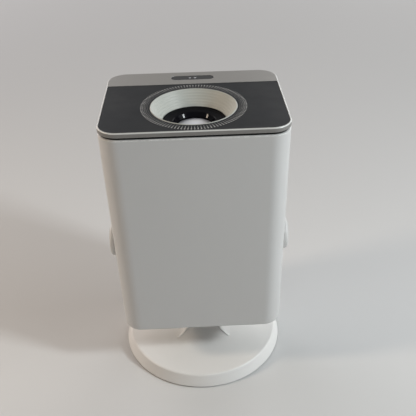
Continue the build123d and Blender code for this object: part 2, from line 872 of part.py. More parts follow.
def main_board():
    """Main circuit board on the standoffs of the sleeve, with its processor and two coils."""
    middle_y = board_y + board_thickness / 2
    board = block(board_width, board_thickness, board_z, board_z + board_height, y=middle_y)
    chip_z = board_z + board_height / 2
    chip_y = board_y - chip_height / 2
    board += block(chip_size, chip_height, chip_z, chip_z + chip_size, y=chip_y)
    for sign in (-1, 1):
        coil_x = sign * (board_width / 2 - chip_size)
        coil_y = board_y - chip_height
        board += block(chip_size / 2, 2 * chip_height, chip_z, chip_z + chip_size / 2, coil_x, coil_y)
    return board


def power_button():
    """Round power button that rests with its flange on the inside of the rear cover."""
    flange_top = cover_top_z + button_flange_thickness
    button = disc(button_radius, button_z, cover_top_z, -side_x, lens_y)
    button = fillet(button.edges().group_by(Axis.Z)[0], button_proud / 2)
    return button + disc(button_radius + button_flange, cover_top_z, flange_top, -side_x, lens_y)


def button_switch():
    """Switch bridge that stands on the rear cover over the button."""
    top = switch_z + switch_thickness
    reach = button_radius + button_flange + throat_gap + switch_leg
    bridge = block(2 * button_radius, 2 * reach, switch_z, top, -side_x, lens_y)
    for sign in (-1, 1):
        leg_y = lens_y + sign * (reach - switch_leg / 2)
        bridge += block(2 * button_radius, switch_leg, cover_top_z, switch_z, -side_x, leg_y)
    return bridge


def infrared_window():
    """Small round window for the remote control."""
    y = lens_y + infrared_spacing
    window = disc(infrared_radius, cover_z, cover_top_z, -side_x, y)
    flange_top = cover_top_z + port_flange_thickness
    return window + disc(infrared_radius + port_flange, cover_top_z, flange_top, -side_x, y)


def speaker_frame():
    """Long narrow speaker basket with its magnet, on the inside of the rear cover."""
    corner = speaker_width / 2 - speaker_rim
    top = cover_top_z + speaker_height
    frame = slab(speaker_width, speaker_length, corner, cover_top_z, top, side_x, lens_y)
    cavity_length = speaker_length - 2 * speaker_rim
    cavity_width = speaker_width - 2 * speaker_rim
    cavity_top = cover_top_z + speaker_cavity
    frame -= pill(cavity_length, cavity_width, cover_top_z, cavity_top, side_x, lens_y, turn=90)
    return frame + disc(magnet_radius, top, top + magnet_height, side_x, lens_y)


def speaker_cone():
    """Tapered speaker cone at the back of the basket."""
    length = speaker_length - 2 * speaker_rim - 2 * throat_gap
    width = speaker_width - 2 * speaker_rim - 2 * throat_gap
    plan = SlotOverall(length, width, rotation=90)
    cone = extrude(plan, amount=cone_thickness, taper=cone_taper)
    return Pos(side_x, lens_y, cover_top_z + speaker_cavity - cone_thickness) * cone


# Tilt hinge, one set on each side


def hinge_plate(side):
    """Steel plate inside the sleeve wall that takes the pivot stud."""
    plan = RectangleRounded(hinge_plate_height, hinge_plate_width, hinge_plate_corner)
    plate = Pos(0, 0, hinge_plate_x) * extrude(plan, amount=hinge_plate_thickness)
    return at_side(side, plate - disc(stud_radius + thread_gap, hinge_plate_x, inner_width / 2))


def pivot_stud(side):
    """Headed stud from inside the body out through the yoke arm."""
    head = disc(stud_head_radius, hinge_plate_x - stud_head_height, hinge_plate_x)
    return at_side(side, head + disc(stud_radius, hinge_plate_x, stud_end_x))


def pivot_bush(side):
    """Plain bush in the yoke arm."""
    return at_side(side, ring(bush_radius, stud_radius + bush_gap, arm_inner_x, arm_outer_x))


def pivot_cap(side):
    """Round cap over the hinge, hollow for the nut."""
    cap = disc(cap_radius, arm_outer_x, cap_outer_x)
    cap = fillet(cap.edges().group_by(Axis.Z)[-1], cap_round)
    return at_side(side, cap - disc(cap_radius - cap_wall, arm_outer_x, cap_outer_x - cap_wall))


def friction_washers():
    """Washers between the body and the yoke arms that hold the tilt."""
    washer = ring(friction_washer_radius, stud_radius + slide_gap, body_width / 2, arm_inner_x)
    return group(at_side(side, washer) for side in sides.values())


def spring_washers():
    """Spring washers that press the yoke arms against the friction washers."""
    washer = ring(spring_washer_radius, stud_radius + slide_gap, arm_outer_x, nut_x)
    return group(at_side(side, washer) for side in sides.values())


def pivot_nuts():
    """Hexagon nuts on the ends of the pivot studs."""
    nut = Pos(0, 0, nut_x) * extrude(RegularPolygon(nut_radius, 6), amount=nut_height)
    nut -= disc(stud_radius + thread_gap, nut_x, stud_end_x)
    return group(at_side(side, nut) for side in sides.values())


def yoke_bracket():
    """U-shaped yoke: a flat bar on the neck with a round-ended upright arm at each end."""
    outer = block(2 * arm_outer_x, arm_width, neck_top_z, pivot_height)
    outer = fillet(outer.edges().filter_by(Axis.Y).group_by(Axis.Z)[0], yoke_bend_radius + arm_thickness)
    hollow = block(2 * arm_inner_x, arm_width, bar_top_z, pivot_height)
    hollow = fillet(hollow.edges().filter_by(Axis.Y).group_by(Axis.Z)[0], yoke_bend_radius)
    yoke = outer - hollow
    for side in sides.values():
        yoke += at_side(side, disc(arm_width / 2, arm_inner_x, arm_outer_x))
    sharp = [edge for edge in yoke.edges() if edge.length > 2 * arm_thickness]
    crosswise = yoke.edges().filter_by(Axis.Y)
    yoke = fillet([edge for edge in sharp if edge not in crosswise], arm_round)
    for side in sides.values():
        yoke -= at_side(side, disc(bush_radius + thread_gap, arm_inner_x, arm_outer_x))
    for sign in (-1, 1):
        x = sign * yoke_screw_spacing / 2
        yoke -= disc(yoke_screw_radius + thread_gap, neck_top_z, bar_top_z, x)
    return yoke


def yoke_screws():
    """Two screws up through the neck into the yoke."""
    solids = []
    for sign in (-1, 1):
        low = recess_z - yoke_head_height
        place = (sign * yoke_screw_spacing / 2, 0.0)
        solids.append(screw(yoke_screw_radius, yoke_head_radius, yoke_head_height, low, bar_top_z, *place))
    return group(solids)


# Base


def base_side_radius(height):
    """Outer radius of the tapered base wall at a height."""
    share = (height - foot_drop) / (base_height - foot_drop)
    return base_radius + (base_top_radius - base_radius) * share


def flared_profile(half, flare, depth):
    """Upright post with a concave flare at its foot, drawn in XZ and drawn out along Y."""
    foot_z = base_height + neck_lip
    centre = (half + flare, foot_z + flare)
    swing = flare * math.sqrt(0.5)
    waist = (centre[0] - swing, centre[1] - swing)
    right = [
        Line((half + flare, 0, base_ceiling_z), (half + flare, 0, foot_z)),
        ThreePointArc((half + flare, 0, foot_z), (waist[0], 0, waist[1]), (half, 0, foot_z + flare)),
        Line((half, 0, foot_z + flare), (half, 0, neck_top_z)),
    ]
    left = [mirror(edge, about=Plane.YZ) for edge in right]
    caps = [
        Line((-half, 0, neck_top_z), (half, 0, neck_top_z)),
        Line((-half - flare, 0, base_ceiling_z), (half + flare, 0, base_ceiling_z)),
    ]
    return extrude(make_face(right + left + caps), amount=depth, both=True)


def base_neck():
    """Square neck whose four sides flare out onto the base, with ridges at its corners."""
    flare = min(neck_flare, neck_top_z - base_height - neck_lip - fit_gap)
    reach = neck_half_width + neck_half_depth + 2 * flare
    across = flared_profile(neck_half_width, flare, reach)
    along = Rot(0, 0, 90) * flared_profile(neck_half_depth, flare, reach)
    return across & along


def base_cover():
    """White base shell with the neck on top and screw bosses underneath."""
    form = [
        (0, foot_drop),
        (base_radius, foot_drop),
        (base_top_radius, base_height),
        (0, base_height),
    ]
    outer = turned(form)
    outer = fillet(outer.edges().group_by(Axis.Z)[-1], base_round)
    ceiling_radius = base_side_radius(base_ceiling_z) - base_wall
    hollow = [
        (0, foot_drop),
        (base_radius - base_wall, foot_drop),
        (ceiling_radius, base_ceiling_z),
        (0, base_ceiling_z),
    ]
    cover = outer - turned(hollow) + base_neck()
    for x, y in foot_screw_places():
        cover += disc(base_boss_radius, base_plate_z, base_ceiling_z, x, y)
        cover -= disc(screw_radius + thread_gap, base_plate_z, base_ceiling_z, x, y)
    for sign in (-1, 1):
        x = sign * yoke_screw_spacing / 2
        cover -= disc(yoke_screw_radius + fit_gap, recess_z, neck_top_z, x)
        cover -= disc(yoke_head_radius + fit_gap, base_ceiling_z, recess_z, x)
    return cover


def foot_screw_places():
    """Centres of the base screws, on the middle circle of the foot ring."""
    places = []
    for number in range(base_screws_count):
        turn = math.radians(45 + 360 * number / base_screws_count)
        places.append((foot_screw_circle * math.cos(turn), foot_screw_circle * math.sin(turn)))
    return places


def base_plate():
    """Bottom plate with a groove for the foot ring."""
    radius = base_side_radius(base_plate_z) - base_wall - fit_gap
    plate = disc(radius, foot_drop, base_plate_z)
    plate -= ring(foot_ring_outer + fit_gap, foot_ring_inner - fit_gap, foot_drop, groove_z)
    plate -= disc(insert_radius + thread_gap, foot_drop, base_plate_z)
    for x, y in foot_screw_places():
        plate -= disc(screw_radius + fit_gap, groove_z, base_plate_z, x, y)
        plate -= disc(screw_head_radius + fit_gap, groove_z, groove_z + screw_head_height, x, y)
    return plate


def base_screws():
    """Screws that hold the bottom plate, under the foot ring."""
    solids = []
    for place in foot_screw_places():
        tip = base_ceiling_z - fit_gap
        solids.append(screw(screw_radius, screw_head_radius, screw_head_height, groove_z, tip, *place))
    return group(solids)


def base_foot_ring():
    """Rubber ring that the projector stands on."""
    return ring(foot_ring_outer, foot_ring_inner, 0.0, groove_z)


def base_weight():
    """Steel ballast disc on the bottom plate."""
    radius = foot_screw_circle - base_boss_radius - weight_gap
    return ring(radius, weight_hole_radius, base_plate_z, base_ceiling_z - weight_headroom)


def tripod_insert():
    """Brass tripod thread insert with a flange on the inside of the bottom plate."""
    insert = disc(insert_radius, foot_drop, foot_drop + insert_length)
    flange_top = base_plate_z + insert_flange_thickness
    insert += disc(insert_radius + insert_flange, base_plate_z, flange_top)
    return insert - disc(tripod_bore_radius, foot_drop, foot_drop + insert_length)


pieces = {
    "base_cover": base_cover(),
    "base_plate": base_plate(),
    "base_weight": base_weight(),
    "base_foot_ring": base_foot_ring(),
    "base_screws": base_screws(),
    "tripod_insert": tripod_insert(),
    "yoke_bracket": yoke_bracket(),
    "yoke_screws": yoke_screws(),
    "housing_shell": housing_shell(),
    "front_bezel": front_bezel(),
    "front_gasket": front_gasket(),
    "front_panel": front_panel(),
    "sensor_window": sensor_window(),
    "sensor_board": sensor_board(),
    "lens_funnel": lens_funnel(),
    "lens_ring": lens_ring(),
    "lens_barrel": lens_barrel(),
    "front_lens": front_lens(),
    "middle_lens": middle_lens(),
    "rear_lens": rear_lens(),
    "focus_bracket": focus_bracket(),
    "lens_mount": lens_mount(),
    "focus_motor": focus_motor(),
    "focus_lead_screw": focus_lead_screw(),
    "focus_guide_rod": focus_guide_rod(),
    "engine_case": engine_case(),
    "condenser_lens": condenser_lens(),
    "fresnel_lens": fresnel_lens(),
    "lcd_panel": lcd_panel(),
    "field_lens": field_lens(),
    "led_module": led_module(),
    "heatsink": heatsink(),
    "fan_frame": fan_frame(),
    "fan_impeller": fan_impeller(),
    "intake_grille": intake_grille(),
    "rear_cover": rear_cover(),
    "rear_grille": rear_grille(),
    "cover_screws": cover_screws(),
    "port_plate": port_plate(),
    "hdmi_port": hdmi_port(),
    "usb_port": usb_port(),
    "audio_jack": audio_jack(),
    "dc_inlet": dc_inlet(),
    "main_board": main_board(),
    "power_button": power_button(),
    "button_switch": button_switch(),
    "infrared_window": infrared_window(),
    "speaker_frame": speaker_frame(),
    "speaker_cone": speaker_cone(),
    "friction_washers": friction_washers(),
    "spring_washers": spring_washers(),
    "pivot_nuts": pivot_nuts(),
}
for name, side in sides.items():
    pieces[f"hinge_plate_{name}"] = hinge_plate(side)
    pieces[f"pivot_stud_{name}"] = pivot_stud(side)
    pieces[f"pivot_bush_{name}"] = pivot_bush(side)
    pieces[f"pivot_cap_{name}"] = pivot_cap(side)

os.makedirs("parts", exist_ok=True)
for name, solid in pieces.items():
    export_step(solid, f"parts/{name}.step")
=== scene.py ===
"""Looks of a small home projector that tilts in a yoke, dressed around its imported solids."""

import logging
import math
from dataclasses import dataclass
from enum import Enum
from typing import Iterable, Sequence

import bmesh
import bpy
from mathutils import Matrix, Vector


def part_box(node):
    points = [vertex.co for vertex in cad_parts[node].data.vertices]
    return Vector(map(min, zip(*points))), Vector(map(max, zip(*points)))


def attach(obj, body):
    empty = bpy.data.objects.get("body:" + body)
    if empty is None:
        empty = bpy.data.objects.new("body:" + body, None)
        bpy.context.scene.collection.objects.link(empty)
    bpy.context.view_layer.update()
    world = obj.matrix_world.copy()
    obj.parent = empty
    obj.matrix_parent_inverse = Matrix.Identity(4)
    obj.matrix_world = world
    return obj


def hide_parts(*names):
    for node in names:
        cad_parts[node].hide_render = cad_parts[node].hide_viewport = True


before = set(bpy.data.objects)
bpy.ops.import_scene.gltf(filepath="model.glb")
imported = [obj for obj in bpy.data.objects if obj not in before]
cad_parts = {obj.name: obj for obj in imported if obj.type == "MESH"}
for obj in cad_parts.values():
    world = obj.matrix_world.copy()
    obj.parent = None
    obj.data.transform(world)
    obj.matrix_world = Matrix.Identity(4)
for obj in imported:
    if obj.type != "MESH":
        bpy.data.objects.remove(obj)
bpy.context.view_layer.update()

log = logging.getLogger("projector")
MM = 0.001
Tone = tuple[float, float, float]
Point = tuple[float, float]
Size = tuple[float, float, float]

POINT_RADIUS = 1e-6
CORNERS = ((-1, -1), (1, -1), (1, 1), (-1, 1))
DUST_TONE: Tone = (0.52, 0.50, 0.47)
DUST_DULLING = 0.5
LINES_PER_METRE = 2400.0
LINE_DEPTH = 2.0
GRAIN_STRENGTH = 0.5
GLASS_DRIFT = 0.02
GLASS_WAVES_PER_METRE = 90.0
GLASS_WAVE_STRENGTH = 0.2


class Body(Enum):
    """Moving bodies of the projector that a piece can ride on."""

    STAND = "stand"
    PROJECTOR = "projector"
    LENS = "lens"


class Grain(Enum):
    """Kinds of surface texture, as (features per metre, depth in metres)."""

    POLISHED = (900.0, 0.000002)
    FINE = (2600.0, 0.000014)
    MOULDED = (1700.0, 0.000022)
    CAST = (900.0, 0.000060)
    FIBRE = (1200.0, 0.000080)


class Graph:
    """Short way to place and link the nodes of one node tree."""

    def __init__(self, tree: bpy.types.NodeTree) -> None:
        """Keep the tree that nodes go into."""
        self.tree = tree

    def node(self, kind: str, label: str = "", **settings: object) -> bpy.types.Node:
        """Place a node.

        Args:
            kind: Blender's name of the node type.
            label: Name shown on the node.
            settings: Properties of the node, such as operation.

        Returns:
            The new node.
        """
        made = self.tree.nodes.new(kind)
        if label:
            made.name = label
            made.label = label
        for key, value in settings.items():
            setattr(made, key, value)
        return made

    def wire(self, source: bpy.types.NodeSocket, target: bpy.types.NodeSocket) -> None:
        """Link an output to an input."""
        self.tree.links.new(source, target)

    def feed(self, target: bpy.types.NodeSocket, given: object) -> None:
        """Link an input to a given socket, or set it to a given colour or number."""
        if isinstance(given, bpy.types.NodeSocket):
            self.wire(given, target)
        elif isinstance(given, tuple):
            target.default_value = (*given, 1.0)
        else:
            target.default_value = float(given)

    def settle(self, node: bpy.types.Node, values: dict[str, object]) -> bpy.types.Node:
        """Set or link several inputs of a node.

        Args:
            node: The node.
            values: Sockets, colours or numbers by the name of the input.

        Returns:
            The same node.
        """
        for name, given in values.items():
            self.feed(node.inputs[name], given)
        return node

    def group(self, tree: bpy.types.NodeTree, values: dict[str, object]) -> bpy.types.Node:
        """Place a shared node group with the values of its inputs."""
        return self.settle(self.node("ShaderNodeGroup", tree.name, node_tree=tree), values)

    def calc(self, operation: str, first: object, second: object = 0.0) -> bpy.types.NodeSocket:
        """Place a math node.

        Args:
            operation: Blender's name of the operation.
            first: A socket to link, or a number.
            second: A socket to link, or a number.

        Returns:
            The output socket.
        """
        made = self.node("ShaderNodeMath", operation=operation)
        for socket, given in zip(made.inputs, (first, second)):
            self.feed(socket, given)
        return made.outputs[0]

    def blend(
        self, first: bpy.types.NodeSocket, second: bpy.types.NodeSocket, share: float
    ) -> bpy.types.NodeSocket:
        """Add a share of one value to the rest of another."""
        return self.calc("ADD", self.calc("MULTIPLY", first, share), self.calc("MULTIPLY", second, 1 - share))

    def span(
        self, value: bpy.types.NodeSocket, start: object, end: object, low: object = 0.0, high: object = 1.0
    ) -> bpy.types.NodeSocket:
        """Map one range of a value smoothly onto another.

        Args:
            value: Socket with the value.
            start: Value that gives low.
            end: Value that gives high.
            low: Lower result.
            high: Upper result.

        Returns:
            The output socket.
        """
        made = self.node("ShaderNodeMapRange", interpolation_type="SMOOTHSTEP")
        self.settle(made, {"Value": value, "From Min": start, "From Max": end, "To Min": low, "To Max": high})
        return made.outputs["Result"]

    def mix(self, share: object, first: object, second: object, blend: str = "MIX") -> bpy.types.NodeSocket:
        """Mix two colours.

        Args:
            share: Socket or number for the share of the second colour.
            first: Socket or colour.
            second: Socket or colour.
            blend: Blender's name of the blend mode.

        Returns:
            The output socket.
        """
        made = self.node("ShaderNodeMix", data_type="RGBA", blend_type=blend)
        for index, given in ((0, share), (6, first), (7, second)):
            self.feed(made.inputs[index], given)
        return made.outputs[2]

    def noise(self, place: bpy.types.NodeSocket, scale: object, detail: float = 2.0) -> bpy.types.NodeSocket:
        """Place a noise texture.

        Args:
            place: Coordinates in metres.
            scale: Socket or number, features per metre.
            detail: Number of finer layers.

        Returns:
            The socket with the noise value.
        """
        made = self.node("ShaderNodeTexNoise")
        self.settle(made, {"Detail": detail, "Vector": place, "Scale": scale})
        return made.outputs["Fac"]


class Effects:
    """Shared surface effects, each a shader node group that is built once."""

    # Features per metre.
    BROAD_PATCHES = 21.0
    SMALL_PATCHES = 160.0
    EDGE_BREAKS = 420.0
    DUST_PATCHES = 55.0
    DUST_SPECKS = 1900.0
    # Shares.
    BROAD_SHARE = 0.7
    SPECK_SHARE = 0.5
    GLOSS_SWING = 0.16
    LINE_STRETCH = (0.03, 1.0, 1.0)

    def __init__(self) -> None:
        """Build every group."""
        self.grain = self._surface_grain()
        self.edge = self._rounded_edge_and_highlight()
        self.dust = self._settled_dust()
        self.brushed = self._brushed_lines()
        self.chamfer_highlight = self._painted_chamfer_highlight()

    @staticmethod
    def _group(name: str, inputs: Sequence[tuple[str, str]], outputs: Sequence[tuple[str, str]]) -> tuple:
        """Start a group.

        Args:
            name: Name of the group.
            inputs: Names and types of its inputs.
            outputs: Names and types of its outputs.

        Returns:
            The graph, the group's input node and its output node.
        """
        tree = bpy.data.node_groups.new(name, "ShaderNodeTree")
        for label, kind in inputs:
            tree.interface.new_socket(label, in_out="INPUT", socket_type=kind)
        for label, kind in outputs:
            tree.interface.new_socket(label, in_out="OUTPUT", socket_type=kind)
        graph = Graph(tree)
        return graph, graph.node("NodeGroupInput"), graph.node("NodeGroupOutput")

    def _surface_grain(self) -> bpy.types.NodeTree:
        """Slow drift of tone and gloss with a fine moulded texture.

        Returns:
            Group with Color, Roughness and Height.
        """
        graph, given, result = self._group(
            "surface_grain",
            [
                ("Tone", "NodeSocketColor"),
                ("Gloss", "NodeSocketFloat"),
                ("Drift", "NodeSocketFloat"),
                ("Grain Scale", "NodeSocketFloat"),
            ],
            [("Color", "NodeSocketColor"), ("Roughness", "NodeSocketFloat"), ("Height", "NodeSocketFloat")],
        )
        place = graph.node("ShaderNodeTexCoord").outputs["Object"]
        broad = graph.noise(place, self.BROAD_PATCHES, 3.0)
        middle = graph.noise(place, self.SMALL_PATCHES, 4.0)
        fine = graph.noise(place, given.outputs["Grain Scale"], 3.0)
        swing = graph.blend(broad, middle, self.BROAD_SHARE)
        centred = graph.calc("MULTIPLY", graph.calc("SUBTRACT", swing, 0.5), given.outputs["Drift"])
        lift = graph.calc("ADD", centred, 1.0)
        shaded = graph.node("ShaderNodeVectorMath", operation="SCALE")
        graph.wire(given.outputs["Tone"], shaded.inputs[0])
        graph.wire(lift, shaded.inputs["Scale"])
        graph.wire(shaded.outputs[0], result.inputs["Color"])
        smear = graph.calc("MULTIPLY", graph.calc("SUBTRACT", middle, 0.5), self.GLOSS_SWING)
        graph.wire(graph.calc("ADD", given.outputs["Gloss"], smear), result.inputs["Roughness"])
        graph.wire(fine, result.inputs["Height"])
        return graph.tree

    def _rounded_edge_and_highlight(self) -> bpy.types.NodeTree:
        """Softened edges, and a mask of a painted highlight line along them, broken by noise.

        Returns:
            Group with Normal and the painted highlight mask.
        """
        graph, given, result = self._group(
            "rounded_edge_and_highlight",
            [("Radius", "NodeSocketFloat")],
            [("Normal", "NodeSocketVector"), ("Painted Highlight", "NodeSocketFloat")],
        )
        bevel = graph.node("ShaderNodeBevel", samples=6)
        graph.wire(given.outputs["Radius"], bevel.inputs["Radius"])
        shape = graph.node("ShaderNodeNewGeometry")
        facing = graph.node("ShaderNodeVectorMath", operation="DOT_PRODUCT")
        graph.wire(bevel.outputs["Normal"], facing.inputs[0])
        graph.wire(shape.outputs["Normal"], facing.inputs[1])
        place = graph.node("ShaderNodeTexCoord").outputs["Object"]
        broken = graph.span(graph.noise(place, self.EDGE_BREAKS, 3.0), 0.35, 0.65, 0.35, 1.0)
        bend = graph.span(facing.outputs["Value"], 0.995, 0.86)
        graph.wire(bevel.outputs["Normal"], result.inputs["Normal"])
        graph.wire(graph.calc("MULTIPLY", bend, broken), result.inputs["Painted Highlight"])
        return graph.tree

    def _settled_dust(self) -> bpy.types.NodeTree:
        """Thin film of dust on faces that look up.

        Returns:
            Group with Mask.
        """
        graph, given, result = self._group(
            "settled_dust", [("Amount", "NodeSocketFloat")], [("Mask", "NodeSocketFloat")]
        )
        shape = graph.node("ShaderNodeNewGeometry")
        parts = graph.node("ShaderNodeSeparateXYZ")
        graph.wire(shape.outputs["Normal"], parts.inputs[0])
        upward = graph.span(parts.outputs["Z"], 0.3, 0.95)
        place = graph.node("ShaderNodeTexCoord").outputs["Object"]
        patches = graph.span(graph.noise(place, self.DUST_PATCHES, 5.0), 0.35, 0.75)
        specks = graph.span(graph.noise(place, self.DUST_SPECKS, 1.0), 0.66, 0.74)
        cover = graph.blend(patches, specks, 1 - self.SPECK_SHARE)
        film = graph.calc("MULTIPLY", graph.calc("MULTIPLY", cover, upward), given.outputs["Amount"])
        graph.wire(film, result.inputs["Mask"])
        return graph.tree

    def _brushed_lines(self) -> bpy.types.NodeTree:
        """Fine lines along X, as on brushed or blasted metal.

        Returns:
            Group with Lines.
        """
        graph, given, result = self._group(
            "brushed_lines", [("Line Scale", "NodeSocketFloat")], [("Lines", "NodeSocketFloat")]
        )
        stretch = graph.node("ShaderNodeMapping")
        stretch.inputs["Scale"].default_value = self.LINE_STRETCH
        graph.wire(graph.node("ShaderNodeTexCoord").outputs["Object"], stretch.inputs["Vector"])
        graph.wire(
            graph.noise(stretch.outputs["Vector"], given.outputs["Line Scale"], 3.0), result.inputs["Lines"]
        )
        return graph.tree

    def _painted_chamfer_highlight(self) -> bpy.types.NodeTree:
        """Mask of a painted highlight on roundings that lie between upright and level faces.

        Returns:
            Group with Mask.
        """
        graph, _, result = self._group("painted_chamfer_highlight", [], [("Mask", "NodeSocketFloat")])
        parts = graph.node("ShaderNodeSeparateXYZ")
        graph.wire(graph.node("ShaderNodeTexCoord").outputs["Normal"], parts.inputs[0])
        rising = graph.span(parts.outputs["Z"], 0.10, 0.45)
        falling = graph.span(parts.outputs["Z"], 0.90, 0.995, 1.0, 0.0)
        graph.wire(graph.calc("MULTIPLY", rising, falling), result.inputs["Mask"])
        return graph.tree


@dataclass(frozen=True)
class Finish:
    """Opaque finish of one material.

    Attributes:
        name: Name of the material.
        tone: Linear colour.
        gloss: Mean roughness.
        metal: Metallic share.
        grain: Surface texture.
        drift: Share by which the tone drifts.
        coat: Weight of a clear coat.
        coat_gloss: Roughness of that coat.
        edge: Radius of softened edges in metres.
        highlight_tone: Tone of the painted highlights along edges and roundings.
        edge_highlight: Strength of the painted highlight along softened edges.
        chamfer_highlight: Strength of the same painted highlight on roundings between upright and level
            faces.
        dust: Share of dust on faces that look up.
        lines: Strength of brushed lines.
        specular: Specular level.
    """

    name: str
    tone: Tone
    gloss: float
    metal: float = 0.0
    grain: Grain = Grain.FINE
    drift: float = 0.05
    coat: float = 0.0
    coat_gloss: float = 0.1
    edge: float = 0.00025
    highlight_tone: Tone = (0.8, 0.8, 0.78)
    edge_highlight: float = 0.0
    chamfer_highlight: float = 0.0
    dust: float = 0.0
    lines: float = 0.0
    specular: float = 0.5

    def material(self, effects: Effects) -> bpy.types.Material:
        """Build the material.

        Args:
            effects: Shared node groups.

        Returns:
            The new material.
        """
        made = bpy.data.materials.new(self.name)
        made.use_nodes = True
        made.diffuse_color = (*self.tone, 1.0)
        graph = Graph(made.node_tree)
        shader = made.node_tree.nodes["Principled BSDF"]
        graph.settle(shader, {
            "Metallic": self.metal, "Coat Weight": self.coat, "Coat Roughness": self.coat_gloss,
            "Specular IOR Level": self.specular,
        })
        scale, depth = self.grain.value
        grain = graph.group(effects.grain, {
            "Tone": self.tone, "Gloss": self.gloss, "Drift": self.drift, "Grain Scale": scale,
        })
        edge = graph.group(effects.edge, {"Radius": self.edge})
        color = grain.outputs["Color"]
        rough = grain.outputs["Roughness"]
        height = grain.outputs["Height"]
        # Painted highlight: a near-white tone along softened edges, broken by noise.
        if self.edge_highlight:
            color = graph.mix(graph.calc("MULTIPLY", edge.outputs["Painted Highlight"], self.edge_highlight), color, self.highlight_tone)
        # Painted highlight: the same near-white tone on roundings between upright and level faces, where
        # light would catch them.
        if self.chamfer_highlight:
            mask = graph.group(effects.chamfer_highlight, {}).outputs["Mask"]
            color = graph.mix(graph.calc("MULTIPLY", mask, self.chamfer_highlight), color, self.highlight_tone)
        if self.dust:
            film = graph.group(effects.dust, {"Amount": self.dust}).outputs["Mask"]
            color = graph.mix(film, color, DUST_TONE)
            rough = graph.calc("ADD", rough, graph.calc("MULTIPLY", film, DUST_DULLING))
        if self.lines:
            brushed = graph.group(effects.brushed, {"Line Scale": LINES_PER_METRE}).outputs["Lines"]
            swing = graph.calc("MULTIPLY", graph.calc("SUBTRACT", brushed, 0.5), self.lines)
            rough = graph.calc("ADD", rough, swing)
            height = graph.calc("ADD", height, graph.calc("MULTIPLY", swing, LINE_DEPTH))
        bump = graph.settle(graph.node("ShaderNodeBump"), {
            "Strength": GRAIN_STRENGTH, "Distance": depth, "Height": height, "Normal": edge.outputs["Normal"],
        })
        graph.settle(shader, {"Base Color": color, "Roughness": rough, "Normal": bump.outputs["Normal"]})
        return made


@dataclass(frozen=True)
class Glass:
    """Clear or tinted glass.

    Attributes:
        name: Name of the material.
        tone: Tint of the light that passes.
        gloss: Roughness.
        index: Refractive index.
        haze: Depth of the faint waves of its surface, in metres.
        clear: Share of light that passes; the rest is scattered back.
        coat: Weight of a clear coat.
    """

    name: str
    tone: Tone
    gloss: float = 0.02
    index: float = 1.52
    haze: float = 0.000001
    clear: float = 1.0
    coat: float = 0.0

    def material(self, effects: Effects) -> bpy.types.Material:
        """Build the material.

        Args:
            effects: Shared node groups.

        Returns:
            The new material.
        """
        made = bpy.data.materials.new(self.name)
        made.use_nodes = True
        made.diffuse_color = (*self.tone, 0.5)
        graph = Graph(made.node_tree)
        shader = made.node_tree.nodes["Principled BSDF"]
        grain = graph.group(effects.grain, {
            "Tone": self.tone, "Gloss": self.gloss, "Drift": GLASS_DRIFT,
            "Grain Scale": GLASS_WAVES_PER_METRE,
        })
        bump = graph.settle(graph.node("ShaderNodeBump"), {
            "Strength": GLASS_WAVE_STRENGTH, "Distance": self.haze, "Height": grain.outputs["Height"],
        })
        graph.settle(shader, {
            "Transmission Weight": self.clear, "Coat Weight": self.coat, "IOR": self.index,
            "Roughness": self.gloss, "Base Color": grain.outputs["Color"], "Normal": bump.outputs["Normal"],
        })
        return made


